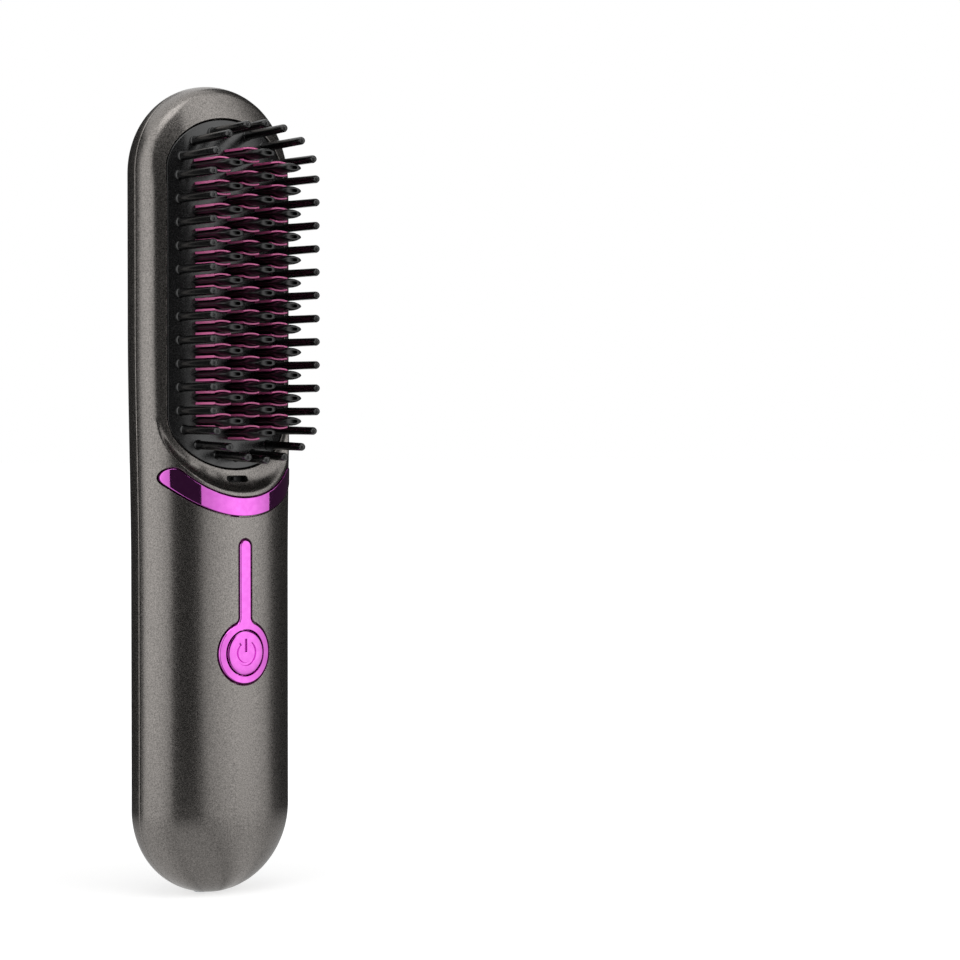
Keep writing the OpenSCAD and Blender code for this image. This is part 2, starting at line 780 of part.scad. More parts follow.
// A wire: a tube swept along points, which are joined by a smooth curve
wire_steps = 4;
wire_sides = 8;
function curve(p, i, t) = let (
    a = p[max(i - 1, 0)], b = p[i], c = p[i + 1], d = p[min(i + 2, len(p) - 1)]
) b + (c - a) * t / 2 + (2 * a - 5 * b + 4 * c - d) * t * t / 2
    + (3 * b - a - 3 * c + d) * t * t * t / 2;
function route(p) = concat(
    [for (i = [0:len(p) - 2], k = [0:wire_steps - 1]) curve(p, i, k / wire_steps)],
    [p[len(p) - 1]]
);
function unit(v) = v / norm(v);
function wire_ring(q, i, r) = let (
    t = unit(q[min(i + 1, len(q) - 1)] - q[max(i - 1, 0)]),
    u = unit(cross(t, [0.5, 0.1, 0.9])),
    v = cross(t, u)
) [for (k = [0:wire_sides - 1]) let (a = -360 * k / wire_sides) q[i] + r * (u * cos(a) + v * sin(a))];
module wire(points, r = wire_r) {
    q = route(points);
    capped_skin([for (i = [0:len(q) - 1]) wire_ring(q, i, r)]);
}

heater_route = [[14.2, 109, 0], [14, 107, -2.5], [12, 100, -3], [8, 93, 0],
    [5.5, 90, pcb_lo_d - 4.2], [5, 89, pcb_lo_d - 1.2]];
sensor_route = [[-14.2, 172.5, 0], [-14.2, 169, -3], [-14.5, 150, -4.5], [-14.5, 120, -4.5],
    [-12, 100, -4], [-8, 93, 0], [-5.5, 90, pcb_lo_d - 4.2], [-5, 89, pcb_lo_d - 1.2]];
ion_route = [[0, 97, emitter_hi - emitter_t - 0.1], [0, 96.5, 4], [0, 96, 1], [0, 98, -2],
    [0, 103, -4], [0, 110, -4.5], [0, 117.6, -4.5]];
battery_route = [[3, 81.7, -1], [3, 83, -1], [3, 85, -0.4], [3.4, 87, 2],
    [3.6, 87.5, pcb_lo_d - 3.2], [3.6, 87.6, pcb_lo_d - 1.2]];
charge_route = [[3, 7.2, 5.7], [3, 8.6, 8.2], [3, 12, 9.2], [3, 18, pcb_hi_d + 0.1],
    [3, 23.3, pcb_hi_d - 0.2]];

module heater_leads() color("#d8d2c4") stand() {
    wire(heater_route);
}

module sensor_leads() color("#e8e6e0") stand() {
    wire(sensor_route);
}

module ion_lead() color("#8b1e1e") stand() {
    wire(ion_route);
}

module battery_leads() color("#b02020") stand() {
    wire(battery_route);
    mirror([1, 0, 0]) wire(battery_route);
}

module charge_leads() color("#d8c020") stand() {
    wire(charge_route);
    mirror([1, 0, 0]) wire(charge_route);
}

module battery_cell() color("#3f7fb5") stand() {
    translate([0, cell_lo, cell_mid]) rotate([-90, 0, 0]) cylinder(d = cell_d, h = cell_len, $fn = 72);
}

module battery_tabs() color(steel) stand() {
    for (s = [cell_lo - tab_t, cell_hi]) block(8, s, s + tab_t, cell_mid - 4, cell_mid + 4);
}

module battery_pads() color("#4a4a4a") stand() {
    difference() {
        for (s = [end_lo + end_wall_t, cell_hi + tab_t])
            block(12, s, s + pad_t, cell_mid - 6, cell_mid + 5);
        lead_holes();
    }
}
// Where the cell's two leads pass its upper pad and the end wall
module lead_holes() {
    for (side = [-1, 1]) translate([side * battery_route[0][0], cell_hi + tab_t, battery_route[0][2]])
        rotate([-90, 0, 0]) cylinder(r = wire_r + 0.25, h = pad_t + end_wall_t + over);
}

module inner_frame() color(frame_black) stand() {
    difference() {
        union() {
            for (side = [-1, 1]) {
                block(rail_t, rail_step, pcb_hi, rail_lo_d, pcb_lo_d, side * (rail_x + rail_t / 2));
                block(thin_rail_t, end_lo, rail_step + 1, rail_lo_d, pcb_lo_d - 2,
                    side * (rail_x + thin_rail_t / 2));
                // Ears for the screws into the front shell, and posts for the charging board
                for (s = frame_screw_s) {
                    rod([side * frame_screw_x, s], frame_boss_r, ear_lo, ear_hi);
                    block(frame_screw_x - rail_x - 0.5, s - 2, s + 2, ear_lo, ear_hi,
                        side * (rail_x + 0.5 + frame_screw_x) / 2);
                }
                block(1.6, board_hi, end_lo + 0.5, -1, 1, side * 7);
            }
            for (s = [end_lo, end_hi])
                block(2 * rail_x + 1, s, s + end_wall_t, rail_lo_d, pcb_lo_d - 2);
            for (at = pcb_screw_places) {
                rod(at, pcb_post_r, 2, pcb_lo_d);
                block(rail_x - abs(at[0]) + 1, at[1] - 1, at[1] + 1, 2, pcb_lo_d,
                    sign(at[0]) * (rail_x + abs(at[0])) / 2);
            }
        }
        for (x = [-frame_screw_x, frame_screw_x], s = frame_screw_s)
            rod([x, s], small_r + snug, ear_lo - over, ear_hi + over);
        for (at = pcb_screw_places) rod(at, small_r + pilot_fit, 2 - over, pcb_lo_d + over);
        lead_holes();
    }
}

module frame_screws() color(steel) stand() {
    for (x = [-frame_screw_x, frame_screw_x], s = frame_screw_s)
        small_screw([x, s], ear_lo, ear_hi - ear_lo + 4);
}

module main_pcb() color(board_green) stand() {
    slab(pcb_lo_d, pcb_hi_d) difference() {
        translate([-pcb_w / 2, pcb_lo]) square([pcb_w, pcb_hi - pcb_lo]);
        for (at = pcb_screw_places) translate(at) circle(small_r + snug);
    }
}

module pcb_screws() color(steel) stand() {
    for (at = pcb_screw_places) translate([0, 0, pcb_hi_d]) mirror([0, 0, 1])
        small_screw(at, 0, pcb_t + 3.4);
}

module control_chip() color("#222222") stand() {
    block(5, 68, 73, pcb_hi_d, pcb_hi_d + 0.9);
}

module heater_mosfets() color("#2a2a2a") stand() {
    for (x = [-4, 4]) block(4.9, 77, 83, pcb_hi_d, pcb_hi_d + 1, x);
}

module power_inductor() color("#5a5a5a") stand() {
    block(6, 34, 40, pcb_hi_d, pcb_hi_d + 2);
}

module capacitors() color("#a88b5c") stand() {
    for (x = [-7, -4.5, 4.5, 7], s = [44]) block(1.3, s, s + 2.4, pcb_hi_d, pcb_hi_d + 0.7, x);
    for (x = [-3, 3]) block(1.3, 63.5, 65.9, pcb_hi_d, pcb_hi_d + 0.7, x);
}

module lead_connectors() color("#e8e4d8") stand() {
    for (x = [-4.3, 4.3]) block(3.4, 84.6, 91, pcb_lo_d - 1.1, pcb_lo_d, x);
    block(8, 24.4, 27.4, pcb_hi_d, pcb_hi_d + 1.1);
}

module status_leds() color("white") stand() {
    for (x = [-3.8, 3.8]) block(1, button_s - 0.8, button_s + 0.8, pcb_hi_d, pcb_hi_d + 0.6, x);
}

module switch_body() color("#303030") stand() {
    difference() {
        block(switch_side, button_s - switch_side / 2, button_s + switch_side / 2, pcb_hi_d, switch_hi);
        rod([0, button_s], plunger_r + plunger_fit, pcb_hi_d - over, switch_hi + over);
    }
}

module switch_plunger() color("#e8e8e8") stand() {
    rod([0, button_s], plunger_r, plunger_lo, plunger_hi);
}

module usb_port() color(steel) stand() {
    difference() {
        translate([0, port_hi, 0]) rotate([90, 0, 0]) linear_extrude(port_hi - port_lo)
            stadium_2d(port_w, port_t);
        translate([0, port_hi - 0.8, 0]) rotate([90, 0, 0]) linear_extrude(port_hi)
            stadium_2d(port_w - 2 * port_wall, port_t - 2 * port_wall);
    }
}

module usb_tongue() color("#202020") stand() {
    block(6.7, port_lo + 0.7, port_hi - 0.8, -0.35, 0.35);
}

module charge_board() color(board_green) stand() {
    block(board_size[0], port_hi, board_hi, -board_size[1] / 2, board_size[1] / 2);
}

module shell_screws() color(steel) stand() {
    for (at = shell_screw_places) difference() {
        union() {
            rod(at, screw_head_r, screw_seat - screw_head_t, screw_seat);
            rod(at, screw_r, screw_seat - 0.2, screw_seat + screw_len);
        }
        translate([at[0], at[1], screw_seat - screw_head_t]) cross_cut(2, 0.55, 0.7);
    }
}

front_shell();
back_shell();
accent_crescent();
keyhole_trim();
power_button();
comb_plate();
comb_teeth();
heater_plate();
heater_strips();
mica_sheet();
heater_frame();
heater_screws();
thermistor();
thermal_fuse();
heater_leads();
sensor_leads();
ion_generator();
ion_emitter();
ion_lead();
inner_frame();
frame_screws();
battery_cell();
battery_tabs();
battery_pads();
battery_leads();
main_pcb();
pcb_screws();
control_chip();
heater_mosfets();
power_inductor();
capacitors();
lead_connectors();
status_leds();
switch_body();
switch_plunger();
usb_port();
usb_tongue();
charge_board();
charge_leads();
shell_screws();
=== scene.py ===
"""A cordless hair straightening brush: its looks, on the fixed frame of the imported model.

Shapes are worked out in millimetres as (across, up, towards the front), and turned to the frame's metres
at the end.
"""
import math

import bmesh
import bpy
import numpy as np
from mathutils import Matrix, Vector
from mathutils.geometry import delaunay_2d_cdt


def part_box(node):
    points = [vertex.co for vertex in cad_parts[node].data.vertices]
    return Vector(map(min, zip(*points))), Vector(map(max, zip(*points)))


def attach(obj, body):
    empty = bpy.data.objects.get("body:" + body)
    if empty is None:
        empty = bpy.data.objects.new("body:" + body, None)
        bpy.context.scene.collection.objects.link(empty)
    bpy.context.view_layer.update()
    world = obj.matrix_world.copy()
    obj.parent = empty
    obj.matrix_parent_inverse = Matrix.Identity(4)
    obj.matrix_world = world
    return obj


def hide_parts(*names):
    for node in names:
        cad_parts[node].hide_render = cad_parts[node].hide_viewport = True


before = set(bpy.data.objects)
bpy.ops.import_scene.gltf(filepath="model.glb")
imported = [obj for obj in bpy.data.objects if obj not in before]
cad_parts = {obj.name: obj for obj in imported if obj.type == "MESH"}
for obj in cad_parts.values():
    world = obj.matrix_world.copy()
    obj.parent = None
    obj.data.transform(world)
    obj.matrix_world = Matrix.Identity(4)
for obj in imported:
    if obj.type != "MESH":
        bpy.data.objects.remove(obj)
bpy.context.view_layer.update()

scene = bpy.context.scene
scene.view_settings.view_transform = "Standard"
# (across, up, towards the front) in millimetres to the frame's metres
STAND = Matrix(((0.001, 0, 0, 0), (0, 0, -0.001, 0), (0, 0.001, 0, 0), (0, 0, 0, 1)))


# The body's form

SQUARE = 2.15
FOOT_S, FOOT_R = 20.3, 20.3
CROWN_S, CROWN_R = 168.8, 21.2
FLARE_S, FLARE_LEN, FLARE_BY = 76, 57, 0.9
FRONT, BACK, WALL = 13.8, 12.8, 2.0
OPEN_W, OPEN_LO, OPEN_HI, LO_RISE, HI_RISE = 17.15, 112.5, 168.7, 12.6, 13.3
BUTTON_S = 57.3
COMB_TOP, COMB_R, FALL_S, FALL_R = 10.2, 47, 163, 64
SCOOP_FOOT, SCOOP_LIP, SCOOP_RUN = (18.4, 13.0), (19.9, 17.0), 3.2
CURL_R, CURL_TURN = 3.5, math.radians(66)
# A level in front of everything, where cutting tools end
ABOVE = 17.0


def ease(t):
    c = np.clip(t, 0, 1)
    return c * c * (3 - 2 * c)


def half_width(s):
    flare = FOOT_R + FLARE_BY * ease((s - FLARE_S) / FLARE_LEN)
    return np.where(s < FOOT_S, FOOT_R, np.where(s > CROWN_S, CROWN_R, flare))


def share_out(x, s, grow=0.0):
    """How far a point lies on the way from the body's spine to its outline, 1 at the outline."""
    end = np.maximum(np.maximum(FOOT_S - s, s - CROWN_S), 0)
    return np.hypot(x, end) / (half_width(s) + grow)


def body_level(x, s, depth=FRONT, grow=0.0):
    return (depth + grow) * np.maximum(1 - share_out(x, s, grow) ** SQUARE, 0) ** (1 / SQUARE)


def comb_level(x, s):
    """The crowned front of the comb cover, steeper at its margins, whose upper end falls away."""
    past = np.clip(s - FALL_S, 0, 40)
    side = np.clip(np.abs(x) - 11.5, 0, 2)
    margin = 0.025 * side * side + 0.1 * np.maximum(np.abs(x) - 13.5, 0)
    crown = np.sqrt(COMB_R**2 - np.minimum(np.abs(x), 30) ** 2)
    fall = FALL_R - np.sqrt(FALL_R**2 - past * past)
    return COMB_TOP - COMB_R + crown - margin - fall


def scoop_level(x, s):
    """The lowered deck round the comb, which curls up at its lower end into a scoop."""
    drop = np.maximum(OPEN_LO - s, 0)
    r = np.maximum(np.hypot(x, drop), 1e-6)
    across, along = np.abs(x) / r, drop / r
    foot = 1 / np.hypot(across / SCOOP_FOOT[0], along / SCOOP_FOOT[1])
    lip = 1 / np.hypot(across / SCOOP_LIP[0], along / SCOOP_LIP[1])
    q = np.maximum(SCOOP_RUN * (r - foot) / (lip - foot), 0)
    turn = CURL_R * math.sin(CURL_TURN)
    curl = CURL_R - np.sqrt(CURL_R**2 - np.minimum(q, turn) ** 2)
    rise = curl + np.maximum(q - turn, 0) * math.tan(CURL_TURN)
    return comb_level(x, s) + 0.3 + rise * ease(drop / 2)


def front_level(x, s):
    """The front shell's outside: the body, cut by the deck, with a soft edge between them."""
    body, deck = body_level(x, s), scoop_level(x, s)
    soft = 1.35 - 0.15 * ease((OPEN_LO - s) / 17)
    blend = np.maximum(soft - np.abs(body - deck), 0)
    return np.minimum(body, deck) - blend**2 / soft / 4


def back_level(x, s):
    return body_level(x, s, BACK)


# Below this level a shell's side is steep enough for its normal to come from the outline
EDGE_BAND = 1.2


def slope_normal(level, x, s, d):
    """The unit normal of a surface given as a level, from its slope, and steady at the body's edge."""
    h = 0.02
    gx = (level(x + h, s) - level(x - h, s)) / (2 * h)
    gs = (level(x, s + h) - level(x, s - h)) / (2 * h)
    n = np.stack([-gx, -gs, np.ones_like(x)], -1)
    end = np.where(s < FOOT_S, s - FOOT_S, np.where(s > CROWN_S, s - CROWN_S, 0))
    r = np.maximum(np.hypot(x, end), 1e-6)
    w, depth = half_width(s), BACK if level is back_level else FRONT
    g = SQUARE * (r / w) ** (SQUARE - 1) / w
    flaring = (s > FLARE_S) & (s < FLARE_S + FLARE_LEN)
    along = np.clip((s - FLARE_S) / FLARE_LEN, 0, 1)
    lean = FLARE_BY / FLARE_LEN * flaring * np.sin(along * math.pi) * 1.5
    out = SQUARE * (np.maximum(d, 0) / depth) ** (SQUARE - 1) / depth
    edge = np.stack([g * x / r, g * end / r - g * lean, out], -1)
    low = (d < EDGE_BAND)[:, None]
    n = np.where(low, edge, n)
    return n / np.linalg.norm(n, axis=1)[:, None]


# Outlines, as closed loops grown by a distance


def arc(cx, cs, rx, rs, a0, a1, count):
    a = np.radians(np.linspace(a0, a1, count))
    return np.stack([cx + rx * np.cos(a), cs + rs * np.sin(a)], -1)


def run(p, q, count):
    t = np.linspace(0, 1, count + 1)[1:-1, None]
    return np.array(p) * (1 - t) + np.array(q) * t


def opening_loop(grow=0.0):
    w = OPEN_W + grow
    top = arc(0, OPEN_HI, w, HI_RISE + grow, 0, 180, 49)
    foot = arc(0, OPEN_LO, w, LO_RISE + grow, 180, 360, 49)
    return np.concatenate([top, run(top[-1], foot[0], 30), foot, run(foot[-1], top[0], 30)])


def crescent_loop(grow=0.0):
    w, r, c, half = 2.2 + grow, 24.0, 115.3, 44.5
    right, left = -90 + half, -90 - half
    ends = [(r * math.cos(math.radians(a)), c + r * math.sin(math.radians(a))) for a in (right, left)]
    return np.concatenate([
        arc(0, c, r + w, r + w, left, right, 72),
        arc(*ends[0], w, w, right, right + 180, 14)[1:-1],
        arc(0, c, r - w, r - w, right, left, 64),
        arc(*ends[1], w, w, left - 180, left, 14)[1:-1],
    ])


def keyhole_loop(grow=0.0):
    stem, neck, r = 1.75, 1.6, 7.4
    fx, fs = stem + neck, math.sqrt((r + neck) ** 2 - (stem + neck) ** 2)
    a = math.degrees(math.atan2(fs, fx))
    hi, w, f = 83.8 - stem, stem + grow, neck - grow
    turn = arc(fx, BUTTON_S + fs, f, f, 180 + a, 180, 9)
    top = arc(0, hi, w, w, 0, 180, 20)
    return np.concatenate([
        arc(0, BUTTON_S, r + grow, r + grow, 180 - a, 360 + a, 96)[:-1],
        turn,
        run(turn[-1], top[0], 24),
        top,
        run(top[-1], (-w, BUTTON_S + fs), 24),
        turn[::-1] * (-1, 1),
    ])[:-1]


def lens_loop(length, t, grow, count, nose=0.06):
    """Two arcs that meet at the sides in a small rounded nose."""
    length, t = length + 2 * grow, t + 2 * grow
    r = ((length / 2) ** 2 + (t / 2) ** 2) / t
    a = math.degrees(math.asin(min((length / 2 - nose) / r, 1)))
    top = arc(0, t / 2 - r, r, r, 90 - a, 90 + a, count // 2)
    return np.concatenate([top, top * (-1, -1)])


def stadium_loop(length, t, grow=0.0, count=10):
    r, x = t / 2 + grow, (length - t) / 2
    return np.concatenate([arc(x, 0, r, r, -90, 90, count), arc(-x, 0, r, r, 90, 270, count)])


def ring_loop(r, count=72, at=(0, 0)):
    return arc(at[0], at[1], r, r, 0, 360, count + 1)[:-1]


# Mesh tools


def within(points, loop):
    x, y = points[:, 0, None], points[:, 1, None]
    a, b = loop, np.roll(loop, -1, 0)
    crosses = (a[:, 1] > y) != (b[:, 1] > y)
    with np.errstate(divide="ignore", invalid="ignore"):
        at = a[:, 0] + (y - a[:, 1]) * (b[:, 0] - a[:, 0]) / (b[:, 1] - a[:, 1])
    return (np.sum(crosses & (x < at), 1) % 2).astype(bool)


def fill(loops, step):
    """Triangles inside the first loop and outside the others, on an even grid of points between them."""
    rim = np.concatenate(loops)
    lo, hi = rim.min(0), rim.max(0)
    # Rows of an even triangle grid lie 0.87 of a step apart
    grid = []
    for i, s in enumerate(np.arange(lo[1], hi[1], step * 0.87)):
        xs = np.arange(lo[0] + step / 2 * (i % 2), hi[0], step)
        grid.append(np.column_stack([xs, np.full(len(xs), s)]))
    grid = np.concatenate(grid)
    keep = within(grid, loops[0])
    for hole in loops[1:]:
        keep &= ~within(grid, hole)
    grid = grid[keep]
    if len(grid):
        near = np.array([np.min(np.hypot(*(rim - p).T)) for p in grid])
        grid = grid[near > 0.6 * step]
    points = np.concatenate([rim, grid])
    edges, at = [], 0
    for loop in loops:
        edges += [(at + i, at + (i + 1) % len(loop)) for i in range(len(loop))]
        at += len(loop)
    _, _, faces, where, _, _ = delaunay_2d_cdt([Vector(p) for p in points], edges, [], 0, 1e-7, True)
    back = [min(w) for w in where]
    tris = np.array([[back[i] for i in f] for f in faces if len(f) == 3])
    mid = points[tris].mean(1)
    keep = within(mid, loops[0])
    for hole in loops[1:]:
        keep &= ~within(mid, hole)
    tris = tris[keep]
    p, q, r = points[tris[:, 0]], points[tris[:, 1]], points[tris[:, 2]]
    flipped = (q - p)[:, 0] * (r - p)[:, 1] - (q - p)[:, 1] * (r - p)[:, 0] < 0
    tris[flipped] = tris[flipped][:, ::-1]
    return points, tris


def level_of(level, xs):
    return level(xs[:, 0], xs[:, 1]) if callable(level) else np.full(len(xs), float(level))


def plate(loops, top, bottom, edge=((0, 0),), step=1.0):
    """A closed plate between two levels.

    loops(inset) gives its outlines, and edge the (inset, drop) steps of its upper rim.
    """
    points, faces = [], []
    sizes = [len(l) for l in loops(0.0)]
    rings = [(0.0, bottom, 0.0)] + [(inset, top, drop) for inset, drop in edge]
    for inset, level, drop in rings:
        ring = np.concatenate(loops(inset))
        points.append(np.column_stack([ring, level_of(level, ring) - drop]))
    total = sum(sizes)
    for k in range(len(rings) - 1):
        start = 0
        for n in sizes:
            for i in range(n):
                a, b = k * total + start + i, k * total + start + (i + 1) % n
                faces.append((a, b, b + total, a + total))
            start += n
    at = total * len(rings)
    lids = ((rings[-1][0], top, at - total, False), (0.0, bottom, 0, True))
    for inset, level, first, flip in lids:
        flat, tris = fill(loops(inset), step)
        inner = flat[total:]
        points.append(np.column_stack([inner, level_of(level, inner)]))
        index = np.concatenate([np.arange(first, first + total), np.arange(at, at + len(inner))])
        at += len(inner)
        tris = index[tris]
        faces += [tuple(t[::-1]) if flip else tuple(t) for t in tris.tolist()]
    return np.concatenate(points), faces


def band(low, high, n):
    """The quads between two rings of n points."""
    return [(low + i, low + (i + 1) % n, high + (i + 1) % n, high + i) for i in range(n)]


def plug(loop, stations):
    """A closed prism through stations of (grow, level), for cutting with. loop(grow) is its outline."""
    points, faces = [], []
    n = len(loop(0.0))
    for grow, level in stations:
        ring = loop(grow)
        points.append(np.column_stack([ring, level_of(level, ring)]))
    last = (len(stations) - 1) * n
    for low in range(0, last, n):
        faces += band(low, low + n, n)
    faces += [tuple(range(n))[::-1], tuple(range(last, last + n))]
    return np.concatenate(points), faces


def turned(profile, sides):
    """A solid turned from (radius, level) points, which start and end on its axis."""
    points, faces = [(0, 0, profile[0][1])], []
    body = profile[1:-1]
    turns = [2 * math.pi * i / sides for i in range(sides)]
    for r, d in body:
        points += [(r * math.cos(a), r * math.sin(a), d) for a in turns]
    points.append((0, 0, profile[-1][1]))
    for i in range(sides):
        j = (i + 1) % sides
        faces.append((0, 1 + j, 1 + i))
        for k in range(len(body) - 1):
            a = 1 + k * sides
            faces.append((a + i, a + j, a + sides + j, a + sides + i))
        a = 1 + (len(body) - 1) * sides
        faces.append((a + i, a + j, len(points) - 1))
    return np.array(points), faces


def moved(shape, at=(0, 0, 0), turn=0.0):
    points, faces = shape
    c, s = math.cos(turn), math.sin(turn)
    return points @ np.array([[c, s, 0], [-s, c, 0], [0, 0, 1]]) + np.array(at), faces


def joined(shapes):
    points, faces, at = [], [], 0
    for p, f in shapes:
        points.append(p)
        faces += [tuple(i + at for i in face) for face in f]
        at += len(p)
    return np.concatenate(points), faces


def solid(name, shape):
    """An object from points in millimetres and faces, with doubles merged."""
    mesh = bpy.data.meshes.new(name)
    points, faces = shape
    mesh.from_pydata([tuple(p) for p in points], [], faces)
    bm = bmesh.new()
    bm.from_mesh(mesh)
    bmesh.ops.remove_doubles(bm, verts=bm.verts, dist=0.0005)
    bmesh.ops.dissolve_degenerate(bm, dist=0.0002, edges=bm.edges)
    bm.to_mesh(mesh)
    bm.free()
    obj = bpy.data.objects.new(name, mesh)
    scene.collection.objects.link(obj)
    return obj


def bake(obj):
    """Makes what an object's modifiers give its own plain mesh."""
    graph = bpy.context.evaluated_depsgraph_get()
    mesh = bpy.data.meshes.new_from_object(obj.evaluated_get(graph))
    obj.modifiers.clear()
    obj.data = mesh


def carve(obj, tool, how="DIFFERENCE"):
    cut = obj.modifiers.new("cut", "BOOLEAN")
    cut.operation, cut.object, cut.solver = how, tool, "MANIFOLD"
    bake(obj)
    bpy.data.objects.remove(tool)


def from_cad(node, region):
    """A copy of a CAD node's inner detail, in millimetres, kept only inside a region."""
    copy = bpy.data.objects.new("detail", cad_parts[node].data.copy())
    scene.collection.objects.link(copy)
    copy.data.transform(STAND.inverted())
    copy.data.materials.clear()
    bm = bmesh.new()
    bm.from_mesh(copy.data)
    bmesh.ops.remove_doubles(bm, verts=bm.verts, dist=0.0005)
    bm.to_mesh(copy.data)
    bm.free()
    carve(copy, region, "INTERSECT")
    return copy


def read(items, key, width=1, kind=float):
    """One value of all of a mesh's items, with a row for each."""
    values = np.zeros(len(items) * width, kind)
    items.foreach_get(key, values)
    return values.reshape(-1, width) if width > 1 else values


def finish_piece(obj, material, replaced=(), body="body", sharp=38, surfaces=()):
    """Shades a piece smooth but for its sharp edges, and puts it in the frame.

    surfaces are its wide surfaces as (level, side). Corners that lie on one get its exact normal.
    """
    mesh = obj.data
    mesh.materials.clear()
    mesh.materials.append(material)
    mesh.polygons.foreach_set("use_smooth", [True] * len(mesh.polygons))
    mesh.set_sharp_from_angle(angle=math.radians(sharp))
    if surfaces:
        spot = read(mesh.vertices, "co", 3)[read(mesh.loops, "vertex_index", kind=int)]
        corner = read(mesh.corner_normals, "vector", 3)
        face = np.repeat(read(mesh.polygons, "normal", 3), read(mesh.polygons, "loop_total", kind=int), 0)
        for level, side in surfaces:
            x, s, d = (spot * (1, 1, side)).T
            exact = slope_normal(level, x, s, d) * (1, 1, side)
            facing = np.sum(exact * face, 1)
            on_surface = (np.abs(level(x, s) - d) < 0.012) & (facing > 0.93)
            in_band = (d < EDGE_BAND) & (d > 0.24) & (np.abs(share_out(x, s) - 1) < 0.01)
            on = on_surface | (in_band & (facing > 0.97))
            corner[on] = exact[on]
        mesh.normals_split_custom_set([tuple(n) for n in corner])
    mesh.transform(STAND)
    if replaced:
        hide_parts(*replaced)
    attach(obj, body)


# Materials


def linear(code):
    """sRGB hex to the linear colour that the shaders take."""
    c = [int(code[i : i + 2], 16) / 255 for i in (1, 3, 5)]
    return tuple(v / 12.92 if v <= 0.04045 else ((v + 0.055) / 1.055) ** 2.4 for v in c) + (1.0,)


def add(tree, kind, inputs=None, **settings):
    """Adds a node with its settings, values and links."""
    node = tree.nodes.new(kind)
    for key, value in settings.items():
        setattr(node, key, value)
    for key, value in (inputs or {}).items():
        if isinstance(value, bpy.types.NodeSocket):
            tree.links.new(value, node.inputs[key])
        else:
            node.inputs[key].default_value = value
    return node


def begin(name, **sockets):
    """A new material with its shader's plain values set on the shader itself."""
    material = bpy.data.materials.new(name)
    material.use_nodes = True
    tree = material.node_tree
    shader = tree.nodes["Principled BSDF"]
    for key, value in sockets.items():
        shader.inputs[key.replace("_", " ")].default_value = value
    place = add(tree, "ShaderNodeTexCoord").outputs["Object"]
    return material, tree, shader, place


def blotch(tree, place, size_mm, detail, stretch=(1, 1, 1)):
    """Noise whose patches are about size_mm across, from real millimetres."""
    spot = add(tree, "ShaderNodeMapping", {"Vector": place, "Scale": stretch}).outputs[0]
    fineness = 1000 / size_mm / 2
    noise = add(tree, "ShaderNodeTexNoise", {"Vector": spot, "Scale": fineness, "Detail": detail})
    return noise.outputs["Fac"]


def dress(tree, shader, tint, gloss, relief, depth_mm):
    """Gives a finish its tint, gloss and relief.

    tint is (pattern, dark, light, low, high), and gloss is in the same form with two roughnesses.
    """
    pattern, dark, light, low, high = tint
    share = add(tree, "ShaderNodeMapRange", {"Value": pattern, "From Min": low, "From Max": high}).outputs[0]
    colours = {"Factor": share, "A": linear(dark), "B": linear(light)}
    mix = add(tree, "ShaderNodeMix", colours, data_type="RGBA")
    tree.links.new(mix.outputs["Result"], shader.inputs["Base Color"])
    pattern, fine, dull, low, high = gloss
    rough = add(tree, "ShaderNodeMapRange", {
        "Value": pattern, "From Min": low, "From Max": high, "To Min": fine, "To Max": dull})
    tree.links.new(rough.outputs[0], shader.inputs["Roughness"])
    bump = add(tree, "ShaderNodeBump", {"Height": relief, "Distance": depth_mm / 1000, "Strength": 1.0})
    tree.links.new(bump.outputs[0], shader.inputs["Normal"])


def moulded(name, dark, light, roughness, grain_mm, depth_mm, **sockets):
    """Moulded plastic: a fine spark-eroded grain, with faint patches where the melt cooled unevenly."""
    material, tree, shader, place = begin(name, **sockets)
    wide = blotch(tree, place, 9.0, 3.0)
    grain = blotch(tree, place, grain_mm, 2.0)
    gloss = (grain, roughness - 0.06, roughness + 0.06, 0.3, 0.7)
    dress(tree, shader, (wide, dark, light, 0.3, 0.7), gloss, grain, depth_mm)
    return material


def lacquer():
    """ABS sprayed with a satin metallic lacquer: aluminium flakes in a warm grey binder.

    The flakes clump into specks of about 0.15 mm, and each tilts the sheen a little.
    """
    material, tree, shader, place = begin("lacquered_abs", Metallic=0.97)
    speck = blotch(tree, place, 0.15, 1.0)
    tint = (speck, "#6a6764", "#9e9995", 0.25, 0.75)
    dress(tree, shader, tint, (speck, 0.25, 0.31, 0.3, 0.7), speck, 0.0012)
    return material


def chrome(name, dark, light, roughness, wave_mm=0.0006):
    """ABS with a magenta vacuum plating under clear lacquer: a mirror, faintly wavy from the moulding."""
    coat = {"Coat_Weight": 0.4, "Coat_IOR": 1.6, "Coat_Roughness": 0.04}
    material, tree, shader, place = begin(name, Metallic=1.0, **coat)
    wave = blotch(tree, place, 7.0, 1.0)
    haze = blotch(tree, place, 0.6, 2.0)
    gloss = (haze, roughness - 0.02, roughness + 0.02, 0.3, 0.7)
    dress(tree, shader, (haze, dark, light, 0.35, 0.65), gloss, wave, wave_mm)
    return material


def metal(name, dark, light, roughness, lay_mm=0.12, stretch=(1, 1, 1)):
    """Rolled, drawn or turned metal: fine lines along its working direction scatter the highlight."""
    material, tree, shader, place = begin(name, Metallic=1.0)
    lines = blotch(tree, place, lay_mm, 3.0, stretch)
    gloss = (lines, roughness - 0.08, roughness + 0.08, 0.3, 0.7)
    dress(tree, shader, (lines, dark, light, 0.3, 0.7), gloss, lines, 0.004)
    return material


